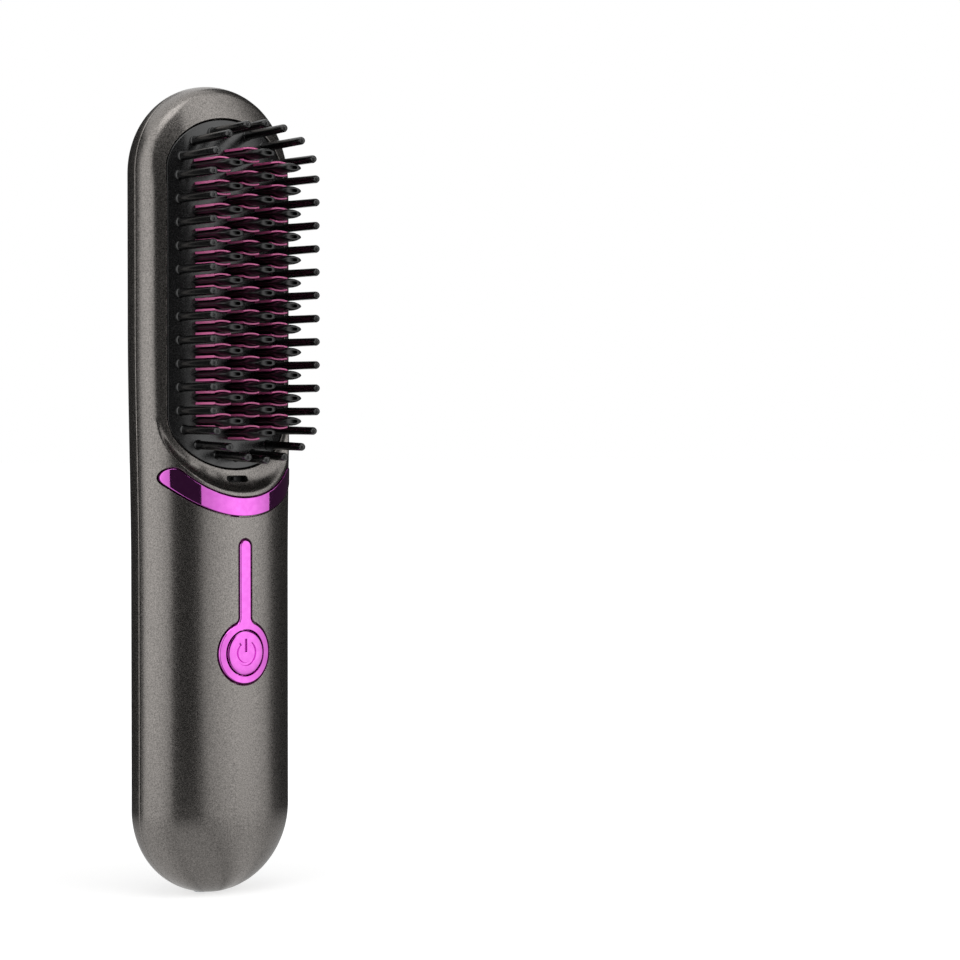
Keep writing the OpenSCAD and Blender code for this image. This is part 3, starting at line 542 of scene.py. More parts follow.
def glazed(name, dark, light, roughness):
    """Sprayed and baked ceramic coating: slightly pebbled, with specks of the pigment."""
    speck_mm, depth_mm = 0.35, 0.01
    material, tree, shader, place = begin(name)
    speck = add(tree, "ShaderNodeTexVoronoi", {"Vector": place, "Scale": 1000 / speck_mm}).outputs["Distance"]
    pebble = blotch(tree, place, 0.5, 2.0)
    gloss = (speck, roughness - 0.05, roughness + 0.08, 0.0, 0.7)
    dress(tree, shader, (speck, light, dark, 0.0, 0.7), gloss, pebble, depth_mm)
    return material


def fin_glaze_with_painted_shade():
    """Pink ceramic sprayed on thin aluminium fins, with painted shade: the broad faces are painted near black
    as the shade in the narrow gaps between the fins, while the edges keep the bright pink, so that each fin
    reads as a bright line. Its direction tells a face from an edge.
    """
    material, tree, shader, place = begin("pink_ceramic_coating", Coat_Weight=0.3, Coat_Roughness=0.15)
    facing = add(tree, "ShaderNodeNewGeometry").outputs["Normal"]
    rise = add(tree, "ShaderNodeSeparateXYZ", {0: facing}).outputs["Z"]
    flat = add(tree, "ShaderNodeMath", {0: rise}, operation="ABSOLUTE").outputs[0]
    pebble = blotch(tree, place, 0.5, 2.0)
    # Painted shade: faces turned up or down get the near-black colour, standing in for the shade between the
    # fins
    tint = (flat, "#fb78b8", "#2c0a1a", 0.45, 0.85)
    dress(tree, shader, tint, (pebble, 0.28, 0.4, 0.3, 0.7), pebble, 0.006)
    return material


def circuit_board():
    """Glass-fibre board under green solder resist, with copper tracks as paler, slightly raised lines."""
    material, tree, shader, place = begin("solder_resist", Roughness=0.35)
    quarter_turn = (math.radians(90), 0, 0)
    upright = add(tree, "ShaderNodeMapping", {"Vector": place, "Rotation": quarter_turn}).outputs[0]
    tracks = add(tree, "ShaderNodeTexBrick", {
        "Vector": upright, "Scale": 1000 / 6.0, "Mortar Size": 0.03, "Mortar Smooth": 0.2,
        "Color1": linear("#1a5236"), "Color2": linear("#1d5a3b"), "Mortar": linear("#2f7a4d"),
    }, offset=0.37)
    tree.links.new(tracks.outputs["Color"], shader.inputs["Base Color"])
    weave = blotch(tree, place, 0.5, 2.0)
    raised = {"Height": tracks.outputs["Fac"], "Distance": 0.00002, "Strength": 1.0}
    bump = add(tree, "ShaderNodeBump", raised).outputs[0]
    fine = add(tree, "ShaderNodeBump", {"Height": weave, "Distance": 0.000004, "Normal": bump})
    tree.links.new(fine.outputs[0], shader.inputs["Normal"])
    return material


def shrink_wrap():
    """Plain blue PVC sleeve shrunk on the cell: glossy, with fine rings of tension round it."""
    material, tree, shader, place = begin("pvc_sleeve", Coat_Weight=0.4, Coat_Roughness=0.1)
    rings = blotch(tree, place, 1.6, 3.0, (0.15, 0.15, 1))
    dress(tree, shader, (rings, "#3877ac", "#4585bb", 0.3, 0.7), (rings, 0.25, 0.38, 0.3, 0.7), rings, 0.03)
    return material


LACQUER = lacquer()
TRIM_CHROME = chrome("magenta_plating", "#da63d3", "#e26ddb", 0.06)
CAP_CHROME = chrome("satin_magenta_plating", "#da63d3", "#e26ddb", 0.12, 0.001)
COVER_BLACK = moulded("glass_filled_nylon", "#070708", "#0c0c0d", 0.24, 0.22, 0.0008, Specular_IOR_Level=0.95)
POST_BLACK = moulded("polished_nylon", "#050506", "#09090a", 0.36, 0.4, 0.0004, Specular_IOR_Level=0.6)
PIN_BLACK = moulded("soft_nylon", "#060606", "#0a0a0b", 0.2, 0.3, 0.0004, Specular_IOR_Level=0.8)
FIN_GLAZE = fin_glaze_with_painted_shade()
PLATE_GLAZE = glazed("dark_ceramic_coating", "#2a141d", "#351a26", 0.45)
STEEL = metal("zinc_plated_steel", "#9fa1a4", "#c3c5c8", 0.32)
NICKEL = metal("nickel_strip", "#b0ada6", "#cfccc4", 0.25, 0.15, (1, 1, 0.1))
CERAMIC = glazed("alumina_ceramic", "#d9d6cf", "#f0eee9", 0.5)
MICA = moulded("mica_sheet", "#a58a50", "#c7ab70", 0.4, 0.8, 0.01)
FRAME = moulded("heat_proof_pbt", "#29292b", "#313134", 0.5, 0.3, 0.01)
CHASSIS = moulded("chassis_abs", "#29292b", "#303033", 0.55, 0.3, 0.01)
EPOXY = moulded("potting_epoxy", "#2c3a55", "#3a4a68", 0.3, 1.2, 0.02)
BRUSH = moulded("carbon_fibre_brush", "#131313", "#1d1d1d", 0.6, 0.12, 0.03)
FOAM = moulded("eva_foam", "#414141", "#525252", 0.85, 0.35, 0.06)
CHIP = moulded("epoxy_moulding", "#1c1c1c", "#262626", 0.45, 0.15, 0.006)
FERRITE = moulded("sintered_ferrite", "#4c4c4c", "#646464", 0.6, 0.2, 0.012)
BARIUM = moulded("ceramic_capacitor", "#97794c", "#b3966a", 0.4, 0.3, 0.006)
HOUSING = moulded("connector_nylon", "#ddd9cd", "#ece9df", 0.45, 0.3, 0.006,
                  Subsurface_Weight=0.05, Subsurface_Scale=0.001)
LENS_RESIN = moulded("led_resin", "#e9eef0", "#f7fafb", 0.2, 0.5, 0.004,
                     Subsurface_Weight=0.1, Subsurface_Scale=0.001)
SWITCH = moulded("switch_nylon", "#2a2a2a", "#343434", 0.45, 0.3, 0.008)
PLUNGER = moulded("acetal_plunger", "#dfdfdd", "#eeeeec", 0.35, 0.4, 0.004)
GLASS_BEAD = moulded("glass_bead", "#2b2b26", "#38382f", 0.15, 0.6, 0.003)
FUSE = metal("tinned_case", "#b9b4aa", "#d4cfc5", 0.3)
WHITE_WIRE = moulded("white_silicone", "#cfc9bb", "#dedacd", 0.5, 0.25, 0.008)
RED_WIRE = moulded("red_silicone", "#a01c1c", "#b82525", 0.5, 0.25, 0.008)
DARK_RED_WIRE = moulded("dark_red_silicone", "#7f1a1a", "#942323", 0.5, 0.25, 0.008)
YELLOW_WIRE = moulded("yellow_silicone", "#ccb41a", "#dcc52c", 0.5, 0.25, 0.008)
GREEN_BOARD = circuit_board()
SLEEVE = shrink_wrap()


# The two shells


def stops(*stretches):
    """Even stops along stretches of (from, to, count) that follow on each other."""
    return np.concatenate([np.linspace(*stretches[0])] + [np.linspace(*s)[1:] for s in stretches[1:]])


def shares(first, count):
    """How far the columns of a row stand out from the spine, closer together where the side is steep."""
    return [math.cos(math.radians(90 * k / count)) ** (2 / SQUARE) for k in range(first, count + 1)]


ROWS = stops((FOOT_S, 88, 30), (88, 93, 10), (93, 103, 40), (103, 118, 30), (118, CROWN_S, 28))
COARSE_ROWS = stops((FOOT_S, 88, 14), (88, 118, 40), (118, CROWN_S, 12))
COLUMNS, COARSE_COLUMNS = shares(1, 52), shares(0, 20)


def half_skin(level, side, grow=0.0, edge=0.2, under=0.0, ends=32, rows=ROWS, columns=COLUMNS):
    """Half of the body as a closed solid, in rows across it.

    edge rounds it where the two shells meet, and under carries its sides on past the plane between them.
    """
    foot, crown = FOOT_R + grow, CROWN_R + grow
    turns = np.linspace(0, math.pi / 2, ends)
    lines = [(foot * math.sin(a), FOOT_S - foot * math.cos(a), FOOT_S) for a in turns[:-1]]
    lines += [(float(half_width(s)) + grow, s, s) for s in rows]
    lines += [(crown * math.cos(a), CROWN_S + crown * math.sin(a), CROWN_S) for a in turns[1:]]
    rim = [(1 - math.sin(t), 1 - math.cos(t)) for t in np.radians([0, 30, 60, 90])] if edge else [(0, 0)]
    points = []
    for w, s, spine in lines:
        far = math.hypot(w, s - spine) if abs(s - spine) > 1e-9 else w
        row = []
        if under:
            row.append((w, s, -under))
        for inset, up in rim:
            k = (far - inset * edge) / far
            row.append((w * k, spine + (s - spine) * k, up * edge))
        for c in columns:
            x, at = w * c, spine + (s - spine) * c
            row.append((x, at, float(level(np.array([x]), np.array([at]))[0])))
        points.append(row + [(-x, at, d) for x, at, d in row[-2::-1]])
    n, faces = len(points[0]), []
    for r in range(len(points) - 1):
        for c in range(n - 1):
            a = r * n + c
            faces.append((a, a + n, a + n + 1, a + 1))
    # The flat underneath: the right side upwards, then the left side back down
    last = len(points)
    right = [r * n for r in range(last - 1, -1, -1)]
    left = [r * n + n - 1 for r in range(1, last - 1)]
    faces.append(tuple(right + left))
    flat = np.array([p for row in points for p in row])
    if side < 0:
        flat = flat * (1, 1, -1)
        faces = [f[::-1] for f in faces]
    return flat, faces


def front_inner(x, s, more):
    return np.minimum(body_level(x, s, FRONT, -WALL + more), scoop_level(x, s) - (1.6 - more))


def back_inner(x, s, more):
    return body_level(x, s, BACK, -WALL + more)


def cavity(inner, side, more=0.0):
    """The hollow of a shell as a closed solid, which reaches more into its wall."""
    level = lambda x, s: inner(x, s, more)
    return half_skin(level, side, -WALL + more, 0.0, 6.0, 14, COARSE_ROWS, COARSE_COLUMNS)


def round_over(r, level, steps=(0, 30, 60, 80)):
    """Stations that round an outside corner over by r, where a hole meets a surface."""
    stations = []
    for turn in steps:
        t = math.radians(turn)
        stations.append((r - r * math.cos(t), lambda x, s, t=t: level(x, s) - r + r * math.sin(t)))
    return stations + [(r * 1.2, lambda x, s: level(x, s) + 0.3 * r), (r * 1.2, ABOVE)]


def at_place(loop, cx, cs):
    return lambda grow: loop(grow) + np.array([cx, cs])


def port_plug():
    """The charging hole through the foot, on the plane where the shells meet."""
    points, faces = plug(lambda g: stadium_loop(9.54, 3.86, g, 14), [(0, -1.0), (0, 4.0)])
    return points[:, [0, 2, 1]], [f[::-1] for f in faces]


SEAT_GAP = 0.2
# How far the inner detail reaches into the wall that it is joined to
OVERLAP = 0.3


def seat_level(x, s):
    return body_level(x, s, FRONT, -1.0)


def build_front():
    shell = solid("front_housing", half_skin(front_level, 1))
    carve(shell, solid("hollow", cavity(front_inner, 1)))
    carve(shell, from_cad("front_shell", solid("region", cavity(front_inner, 1, OVERLAP))), "UNION")
    carve(shell, solid("opening", plug(opening_loop, [(0, 5.6)] + round_over(0.2, front_level))))
    mouth = [(0, lambda x, s: body_level(x, s) - 0.5)] + round_over(0.14, body_level, (0, 40, 75))
    for outline in (crescent_loop, keyhole_loop):
        carve(shell, solid("seat", plate(lambda i: [outline(SEAT_GAP - i)], ABOVE, seat_level)))
        carve(shell, solid("mouth", plug(lambda g: outline(SEAT_GAP + g), mouth)))
    hole = plug(lambda g: ring_loop(5.6 + g), [(0, 11.0), (0, ABOVE)])
    carve(shell, solid("hole", moved(hole, (0, BUTTON_S, 0))))
    slot = at_place(lambda g: stadium_loop(6.1, 1.4, g), 0, 97.8)
    carve(shell, solid("slot", plug(slot, [(0, 4.0)] + round_over(0.12, front_level, (0, 40, 75)))))
    carve(shell, solid("port", port_plug()))
    finish_piece(shell, LACQUER, ["front_shell"], surfaces=[(front_level, 1)])


def build_back():
    shell = solid("back_housing", half_skin(back_level, -1))
    carve(shell, solid("hollow", cavity(back_inner, -1)))
    carve(shell, from_cad("back_shell", solid("region", cavity(back_inner, -1, OVERLAP))), "UNION")
    for x, s in ((-13.9, 11.7), (13.9, 11.7), (0, 186.8)):
        well = at_place(lambda g: ring_loop(1.9 + g, 40), x, s)
        points, faces = plug(well, [(0, 3.4)] + round_over(0.25, back_level))
        carve(shell, solid("well", (points * (1, 1, -1), [f[::-1] for f in faces])))
    carve(shell, solid("port", port_plug()))
    finish_piece(shell, LACQUER, ["back_shell"], surfaces=[(back_level, -1)])


# The plated trims and the button


def proud(x, s):
    return body_level(x, s, FRONT, 0.2)


def trim_back(x, s):
    return body_level(x, s, FRONT, -0.98)


def build_crescent():
    edge = ((0.1, 0.3), (0.12, 0.14), (0.17, 0.04), (0.25, 0))
    trim = solid("crescent_trim", plate(lambda i: [crescent_loop(-i)], proud, trim_back, edge, 0.7))
    finish_piece(trim, TRIM_CHROME, ["accent_crescent"], surfaces=[(proud, 1)])


def build_keyhole():
    hole = lambda i: ring_loop(5.35 + 0.4 * i, 72, (0, BUTTON_S))[::-1]
    edge = ((0.16, 0.55), (0.19, 0.38), (0.36, 0.05), (0.44, 0))
    trim = solid("keyhole_ring", plate(lambda i: [keyhole_loop(-i), hole(i)], proud, trim_back, edge, 0.7))
    finish_piece(trim, TRIM_CHROME, ["keyhole_trim"], surfaces=[(proud, 1)], sharp=30)


def build_button():
    low, top = -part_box("power_button")[1].y * 1000, 14.0
    flange = [(0, low), (6.5, low), (6.5, 11.4), (6.4, 11.5), (5.1, 11.5)]
    edge = [(5.1, 13.72), (5.06, 13.82), (4.86, 13.97), (4.76, top), (3.4, top), (1.7, top), (0, top)]
    button = solid("button_cap", moved(turned(flange + edge, 96), (0, BUTTON_S, 0)))

    def groove(g):
        start, end = 125 - 8 * g, 415 + 8 * g
        outer = arc(0, 0, 2.9 + g, 2.9 + g, start, end, 60)
        inner = arc(0, 0, 2.3 - g, 2.3 - g, end, start, 60)
        return np.concatenate([outer, inner]) + np.array([0, BUTTON_S])

    def bar(g):
        w = 0.24 + g
        return np.array([(-w, 0.3 - g), (w, 0.3 - g), (w, 3.2 + g), (-w, 3.2 + g)]) + np.array([0, BUTTON_S])

    for loop, deep in ((groove, 0.34), (bar, 0.45)):
        walls = [(-0.03, top - deep), (0, top + 0.06 - deep)]
        stations = walls + [(0.07, top - 0.05), (0.12, top + 0.01), (0.12, top + 0.4)]
        carve(button, solid("symbol", plug(loop, stations)))
    finish_piece(button, CAP_CHROME, ["power_button"], body="button", sharp=25)


# The comb

COMB_MID, PITCH, SIDE_X = 140.7, 5.36, 8.3
CENTRE_TEETH = [(0.0, COMB_MID + (i - 6) * PITCH) for i in range(13)]
SIDE_TEETH = [(x, COMB_MID + (i - 5.5) * PITCH) for x in (-SIDE_X, SIDE_X) for i in range(12)]
TEETH = CENTRE_TEETH + SIDE_TEETH
PIN_X, PIN_PITCH = 14.15, 5.43
UPRIGHT = (0, 0, 1)


def pin_feet():
    """Where the guard pins stand, with the way that each leans: two straight rows and a bow at each end."""
    feet = [(side * PIN_X, COMB_MID + (i - 5) * PIN_PITCH, side, 0.0) for side in (-1, 1) for i in range(11)]
    for mid, rise, up in ((OPEN_HI, 10.3, 1), (OPEN_LO, 9.6, -1)):
        for a in np.radians([20, 45, 69, 90, 111, 135, 160]):
            feet.append((PIN_X * math.cos(a), mid + up * rise * math.sin(a), math.cos(a), up * math.sin(a)))
    return feet


def under_cover(inset, thickness):
    """The space under the comb's cover."""
    top = lambda x, s: comb_level(x, s) - thickness
    return plate(lambda i: [opening_loop(-inset - i)], top, 0.0, step=2.0)


def build_cover():
    edge = ((0, 0.3), (0.04, 0.15), (0.15, 0.04), (0.3, 0))
    cover = solid("comb_cover", plate(lambda i: [opening_loop(-0.25 - i)], comb_level, 5.65, edge, 0.9))
    carve(cover, solid("pocket", under_cover(1.25, 1.3)))
    for x, s in TEETH:
        loop = at_place(lambda g: lens_loop(7.1, 4.3, g, 40), x, s)
        carve(cover, solid("hole", plug(loop, [(0, 4.0)] + round_over(0.16, comb_level, (0, 45, 75)))))
    carve(cover, from_cad("comb_plate", solid("region", under_cover(1.2, 1.25))), "UNION")
    finish_piece(cover, COVER_BLACK, ["comb_plate"], surfaces=[(comb_level, 1)])


def scatter_tree():
    """Puts a blank on every point, leaning as the point says and stretched to the point's own length."""
    tree = bpy.data.node_groups.new("set_on_points", "GeometryNodeTree")
    face = tree.interface
    face.new_socket("Places", in_out="INPUT", socket_type="NodeSocketGeometry")
    face.new_socket("Blank", in_out="INPUT", socket_type="NodeSocketObject")
    face.new_socket("Girth", in_out="INPUT", socket_type="NodeSocketFloat").default_value = 1.0
    face.new_socket("Length", in_out="INPUT", socket_type="NodeSocketFloat").default_value = 1.0
    face.new_socket("Finish", in_out="INPUT", socket_type="NodeSocketMaterial")
    face.new_socket("Set", in_out="OUTPUT", socket_type="NodeSocketGeometry")
    given = add(tree, "NodeGroupInput").outputs
    blank = add(tree, "GeometryNodeObjectInfo", {"Object": given["Blank"]}).outputs["Geometry"]
    named = "GeometryNodeInputNamedAttribute"
    lean = add(tree, named, {"Name": "lean"}, data_type="FLOAT_VECTOR").outputs["Attribute"]
    stretch = add(tree, named, {"Name": "stretch"}, data_type="FLOAT").outputs["Attribute"]
    turn = add(tree, "FunctionNodeAlignRotationToVector", {"Vector": lean}, axis="Z").outputs[0]
    long = add(tree, "ShaderNodeMath", {0: given["Length"], 1: stretch}, operation="MULTIPLY").outputs[0]
    size = add(tree, "ShaderNodeCombineXYZ", {"X": given["Girth"], "Y": given["Girth"], "Z": long}).outputs[0]
    placed = add(tree, "GeometryNodeInstanceOnPoints", {
        "Points": given["Places"], "Instance": blank, "Rotation": turn, "Scale": size}).outputs[0]
    real = add(tree, "GeometryNodeRealizeInstances", {"Geometry": placed}).outputs[0]
    done = add(tree, "GeometryNodeSetMaterial", {"Geometry": real, "Material": given["Finish"]}).outputs[0]
    add(tree, "NodeGroupOutput", {"Set": done})
    return tree


SCATTER = scatter_tree()


def set_on(name, blank, places, finish, girth=1.0, length=1.0):
    """Sets a blank on places of (x, s, d, lean, stretch), in millimetres."""
    points = bpy.data.meshes.new(name)
    points.from_pydata([p[:3] for p in places], [], [])
    lean = np.array([p[3] for p in places], np.float32).ravel()
    points.attributes.new("lean", "FLOAT_VECTOR", "POINT").data.foreach_set("vector", lean)
    stretch = [p[4] for p in places]
    points.attributes.new("stretch", "FLOAT", "POINT").data.foreach_set("value", stretch)
    obj = bpy.data.objects.new(name, points)
    scene.collection.objects.link(obj)
    made = obj.modifiers.new("set", "NODES")
    made.node_group = SCATTER
    for item in SCATTER.interface.items_tree:
        value = {"Blank": blank, "Girth": girth, "Length": length, "Finish": finish}.get(item.name)
        if value is not None:
            made[item.identifier] = value
    bake(obj)
    bpy.data.objects.remove(blank)
    return obj


def build_pins():
    """The guard pins: a flared foot, a long taper and a rounded tip with a small step, up to one level."""
    tall, tip, foot, top = 12.0, 0.94, 1.02, 22.5
    lean = math.radians(3)
    profile = [(0, -0.65), (1.22, -0.65), (1.22, 0.1), (1.19, 0.17), (1.12, 0.22), (1.06, 0.4), (1.03, 0.95)]
    profile += [(foot + (tip - foot) * t, 0.95 + (tall - 1.85) * t) for t in (0.25, 0.5, 0.75, 1.0)]
    profile += [(tip * math.cos(a), tall - tip + tip * math.sin(a)) for a in np.radians([18, 34, 44])]
    profile += [(0.6, tall - 0.30), (0.54, tall - 0.30), (0.5, tall - 0.16), (0.38, tall - 0.07)]
    profile += [(0.2, tall - 0.02), (0, tall)]
    blank = solid("pin_blank", turned(profile, 28))
    places = []
    for x, s, lx, ls in pin_feet():
        d = float(comb_level(np.array([x]), np.array([s]))[0])
        way = (lx * math.sin(lean), ls * math.sin(lean), math.cos(lean))
        places.append((x, s, d, way, (top - d) / tall))
    finish_piece(set_on("guard_pins", blank, places, PIN_BLACK), PIN_BLACK, ["comb_plate"])


# Heights of the posts in the middle row and in the side rows, and the level that they stand on
MIDDLE_POST, SIDE_POST, POST_FOOT = 18.2, 17.1, 4.3


def post_blank():
    """A slim lens-shaped post with a crowned, narrow end, whose sides lean in at the tip, and a slot in it.

    Its stations are (level, length, thickness, share of the crown, nose).
    """
    full = MIDDLE_POST
    stations = [
        (0, 6.5, 2.2, 0, 0.08), (full - 4.5, 6.5, 2.2, 0, 0.1), (full - 1.5, 6.45, 2.16, 0.6, 0.16),
        (full - 0.75, 6.35, 2.0, 0.9, 0.22), (full - 0.25, 6.1, 1.66, 1, 0.22),
        (full - 0.06, 5.95, 1.46, 1, 0.2), (full, 5.8, 1.3, 1, 0.16),
    ]
    n = 32

    def crown(x):
        return 0.42 * np.maximum(np.abs(x) - 1.5, 0) ** 2

    points, faces = [], []
    for d, length, t, share, nose in stations:
        ring = lens_loop(length, t, 0, n, nose)
        points.append(np.column_stack([ring, d - share * crown(ring[:, 0])]))
    base = (len(stations) - 1) * n
    for low in range(0, base, n):
        faces += band(low, low + n, n)
    faces.append(tuple(range(n))[::-1])
    slot = stadium_loop(2.3, 0.82, 0, 7)
    flat, tris = fill([points[-1][:, :2], slot[::-1]], 0.45)
    m = len(slot)
    points.append(np.column_stack([flat[n:], full - crown(flat[n:, 0])]))
    faces += [tuple(base + t) for t in tris]
    floor = base + len(flat)
    points.append(np.column_stack([slot[::-1], np.full(m, full - 1.1)]))
    faces += band(base + n, floor, m)
    faces.append(tuple(range(floor, floor + m))[::-1])
    return np.concatenate(points), faces


def head_below(top):
    """A block that takes in the whole head, up to a level."""
    square = np.array([(-30, 90), (30, 90), (30, 190), (-30, 190)])
    return solid("region", plug(lambda g: square, [(0, 2.0), (0, top)]))


def build_posts():
    blank = solid("post_blank", post_blank())
    places = [(x, s, POST_FOOT, UPRIGHT, 1.0) for x, s in CENTRE_TEETH]
    places += [(x, s, POST_FOOT, UPRIGHT, SIDE_POST / MIDDLE_POST) for x, s in SIDE_TEETH]
    posts = set_on("heated_posts", blank, places, POST_BLACK)
    finish_piece(posts, POST_BLACK, ["comb_teeth"])
    carrier = from_cad("comb_teeth", head_below(POST_FOOT))
    carrier.name = "post_carrier"
    finish_piece(carrier, POST_BLACK, ["comb_teeth"])


def build_fins():
    """A bowed fin on each side of every post, on the heater's base."""
    out, bow, w, t = 1.84, 0.3, 4.9, 0.55
    r = ((w / 2) ** 2 + bow**2) / (2 * bow)

    def fin(g):
        a = math.degrees(math.asin((w / 2 + g) / r))
        outer = arc(0, out - r, r + g, r + g, 90 - a, 90 + a, 14)
        inner = arc(0, out - r, r - t - g, r - t - g, 90 + a, 90 - a, 14)
        return np.concatenate([outer, inner])

    up = plug(fin, [(0, 0), (0, 11.1), (-0.06, 11.24), (-0.16, 11.3)])
    blank = solid("fin_blank", joined([up, moved(up, turn=math.pi)]))
    places = [(x, s, 4.9, UPRIGHT, 1.0) for x, s in TEETH]
    fins = set_on("heater_fins", blank, places, FIN_GLAZE)
    finish_piece(fins, FIN_GLAZE, ["heater_plate"])
    base = from_cad("heater_plate", head_below(5.4))
    base.name = "heater_base"
    finish_piece(base, PLATE_GLAZE, ["heater_plate"])


build_front()
build_back()
build_crescent()
build_keyhole()
build_button()
build_cover()
build_pins()
build_posts()
build_fins()

# The CAD's own parts, with their real finishes

FINISHES = {
    "heater_strips": CERAMIC, "mica_sheet": MICA, "heater_frame": FRAME, "heater_screws": STEEL,
    "thermistor": GLASS_BEAD, "thermal_fuse": FUSE, "heater_leads": WHITE_WIRE, "sensor_leads": WHITE_WIRE,
    "ion_generator": EPOXY, "ion_emitter": BRUSH, "ion_lead": DARK_RED_WIRE, "inner_frame": CHASSIS,
    "frame_screws": STEEL, "battery_cell": SLEEVE, "battery_tabs": NICKEL, "battery_pads": FOAM,
    "battery_leads": RED_WIRE, "main_pcb": GREEN_BOARD, "pcb_screws": STEEL, "control_chip": CHIP,
    "heater_mosfets": CHIP, "power_inductor": FERRITE, "capacitors": BARIUM, "lead_connectors": HOUSING,
    "status_leds": LENS_RESIN, "switch_body": SWITCH, "switch_plunger": PLUNGER, "usb_port": STEEL,
    "usb_tongue": CHIP, "charge_board": GREEN_BOARD, "charge_leads": YELLOW_WIRE, "shell_screws": STEEL,
}
for name, material in FINISHES.items():
    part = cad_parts[name]
    if part.data.materials:
        for i in range(len(part.data.materials)):
            part.data.materials[i] = material
    else:
        part.data.materials.append(material)

# Studio

MIDDLE = Vector((0, 0, 0.095))
# Lamps, cloths and flags are placed by their degrees round the brush from this direction
AXIS = -36.7


def around(degrees, distance, z):
    a = math.radians(AXIS + degrees)
    return Vector((math.sin(a) * distance, -math.cos(a) * distance, z))


def bare(name):
    """A new material for the stage, without its usual shader."""
    material = bpy.data.materials.new(name)
    material.use_nodes = True
    tree = material.node_tree
    tree.nodes.remove(tree.nodes["Principled BSDF"])
    return material, tree, tree.nodes["Material Output"].inputs["Surface"]


def in_view(tree):
    """1 where something is looked at, also in or through the brush, and 0 where it only lights."""
    path = add(tree, "ShaderNodeLightPath").outputs
    straight = {0: path["Is Camera Ray"], 1: path["Is Glossy Ray"]}
    seen = add(tree, "ShaderNodeMath", straight, operation="ADD").outputs[0]
    through = {0: seen, 1: path["Is Transmission Ray"]}
    return add(tree, "ShaderNodeMath", through, operation="ADD", use_clamp=True).outputs[0]


def white_table():
    """White board, which to the eye and in reflections also glows, and more so farther from the brush."""
    material, tree, surface = bare("white_table")
    plain = add(tree, "ShaderNodeBsdfDiffuse", {"Color": (0.62, 0.62, 0.62, 1)}).outputs[0]
    place = add(tree, "ShaderNodeTexCoord").outputs["Object"]
    away = add(tree, "ShaderNodeVectorMath", {0: place}, operation="LENGTH").outputs["Value"]
    rise = add(tree, "ShaderNodeMapRange", {
        "Value": away, "From Min": 0.03, "From Max": 0.24, "To Min": 0.66, "To Max": 1.0,
    }, interpolation_type="SMOOTHSTEP").outputs[0]
    strength = add(tree, "ShaderNodeMath", {0: in_view(tree), 1: rise}, operation="MULTIPLY").outputs[0]
    light = add(tree, "ShaderNodeEmission", {"Color": (1, 1, 1, 1), "Strength": strength}).outputs[0]
    both = add(tree, "ShaderNodeAddShader", {0: plain, 1: light}).outputs[0]
    tree.links.new(both, surface)
    return material


def lit_cloth():
    """Cloth that glows as much as its points say."""
    material, tree, surface = bare("lit_cloth")
    glow = add(tree, "ShaderNodeAttribute", attribute_name="glow").outputs["Fac"]
    tree.links.new(add(tree, "ShaderNodeEmission", {"Strength": glow}).outputs[0], surface)
    return material


LIT_CLOTH = lit_cloth()


def lit_card(name, steps, profile):
    """A bent sheet of lit cloth round the brush, seen only in reflections.

    steps are its (degrees round, radiance), and profile its (distance, height, share of the radiance).
    """
    angles = np.linspace(steps[0][0], steps[-1][0], 40)
    glow = np.interp(angles, [s[0] for s in steps], [s[1] for s in steps])
    points = [around(a, distance, z) for a in angles for distance, z, _ in profile]
    rows, columns = len(profile), len(angles)
    corners = [i * rows + k for i in range(columns - 1) for k in range(rows - 1)]
    mesh = bpy.data.meshes.new(name)
    mesh.from_pydata(points, [], [(c, c + rows, c + rows + 1, c + 1) for c in corners])
    mesh.materials.append(LIT_CLOTH)
    values = np.outer(glow, [p[2] for p in profile])
    mesh.attributes.new("glow", "FLOAT", "POINT").data.foreach_set("value", values.ravel())
    obj = bpy.data.objects.new(name, mesh)
    scene.collection.objects.link(obj)
    obj.visible_camera = obj.visible_diffuse = obj.visible_shadow = obj.visible_transmission = False


def softbox(name, centre, half, distance, z0, z1, radiance):
    """A flat rectangular lamp between two heights, facing the brush, as wide as half degrees to each side."""
    width, height = 2 * distance * math.tan(math.radians(half)), z1 - z0
    lamp = bpy.data.lights.new(name, "AREA")
    lamp.shape, lamp.size, lamp.size_y = "RECTANGLE", width, height
    lamp.energy = radiance * math.pi * width * height
    obj = bpy.data.objects.new(name, lamp)
    scene.collection.objects.link(obj)
    obj.location = around(centre, distance, (z0 + z1) / 2)
    back = Vector((obj.location.x, obj.location.y, 0))
    obj.rotation_euler = back.to_track_quat("Z", "Y").to_euler()
    obj.visible_camera = False
    return obj


floor_mesh = bpy.data.meshes.new("floor")
floor_mesh.from_pydata([(-9, -9, 0), (9, -9, 0), (9, 9, 0), (-9, 9, 0)], [], [(0, 1, 2, 3)])
floor_mesh.materials.append(white_table())
floor = bpy.data.objects.new("floor", floor_mesh)
scene.collection.objects.link(floor)

# Each cloth lies on the table from the brush outwards, dimmer near it, and then stands up
CLOTH = [
    (0.003, 0.0004, 0.6), (0.06, 0.0004, 0.6), (0.3, 0.0004, 0.9), (0.9, 0.0004, 1.0), (0.9, 1.6, 1.0),
]
FLAG_GLOW = 0.03


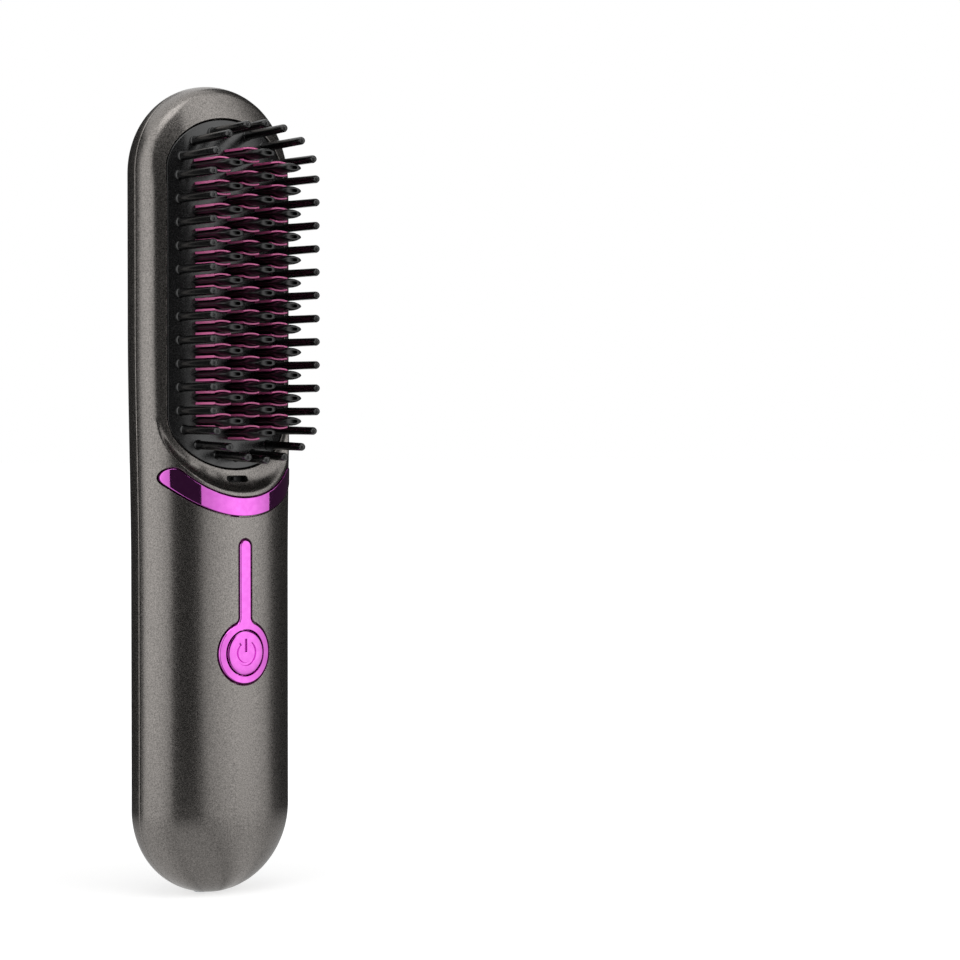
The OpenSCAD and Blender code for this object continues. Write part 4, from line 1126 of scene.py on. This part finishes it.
def flag(name, start, end, distance, top, foot=True):
    """A black flag. With a foot it also lies on the table, about as bright as the table near the brush."""
    table = [(0.003, 0.0006, 20), (0.05, 0.0006, 18), (0.13, 0.0006, 1)] if foot else []
    upright = [(distance, 0.0006 if foot else 0.118, 1), (distance, top, 1)]
    lit_card(name, [(start, FLAG_GLOW), (end, FLAG_GLOW)], table + upright)


flag("front_flag", -19.5, 28, 0.4, 0.52)
flag("head_flag", 27, 40, 0.38, 0.52, foot=False)
flag("right_flag", 99, 171, 0.6, 1.2)
flag("left_flag", -171, -92, 0.6, 0.6)
RIGHT_GLOW = [(28, 0.75), (40, 0.88), (57, 1.22), (68, 1.42), (80, 1.28), (90, 0.98), (99, 0.8)]
LEFT_GLOW = [(-92, 1.25), (-60, 1.3), (-45, 1.2), (-30, 0.95), (-19.5, 0.8)]
lit_card("right_cloth", RIGHT_GLOW, CLOTH)
lit_card("left_cloth", LEFT_GLOW, CLOTH)

right = softbox("right_box", 63.5, 35.5, 1.1, 0.002, 1.3, 1.35)
left = softbox("left_box", -55.7, 36.2, 1.1, 0.002, 1.3, 1.2)
top = softbox("top_box", 0, 25, 1.2, 0.0, 1.0, 1.3)
top.location = around(0, 0.75, 1.25)
top.rotation_euler = (top.location - MIDDLE).to_track_quat("Z", "Y").to_euler()
right.visible_glossy = left.visible_glossy = False

world = bpy.data.worlds.new("studio")
scene.world = world
world.use_nodes = True
world.cycles.sampling_method = "NONE"
sky = world.node_tree
background = sky.nodes["Background"].inputs
background["Color"].default_value = (1, 1, 1, 1)
strength = add(sky, "ShaderNodeMapRange", {"Value": in_view(sky), "To Min": 0.25, "To Max": 1.0}).outputs[0]
sky.links.new(strength, background["Strength"])

camera = bpy.data.objects.new("camera", bpy.data.cameras.new("camera"))
scene.collection.objects.link(camera)
camera.location = (-0.3697498, -0.4947274, 0.1071156)
azimuth, elevation = math.radians(-42.7156), math.radians(0.9062)
level_part = math.cos(elevation)
back = Vector((math.sin(azimuth) * level_part, -math.cos(azimuth) * level_part, math.sin(elevation)))
camera.rotation_euler = (-back).to_track_quat("-Z", "Y").to_euler()
camera.data.lens, camera.data.sensor_width = 97.4145, 36
camera.data.clip_start = 0.01
scene.camera = camera

bpy.context.view_layer.update()
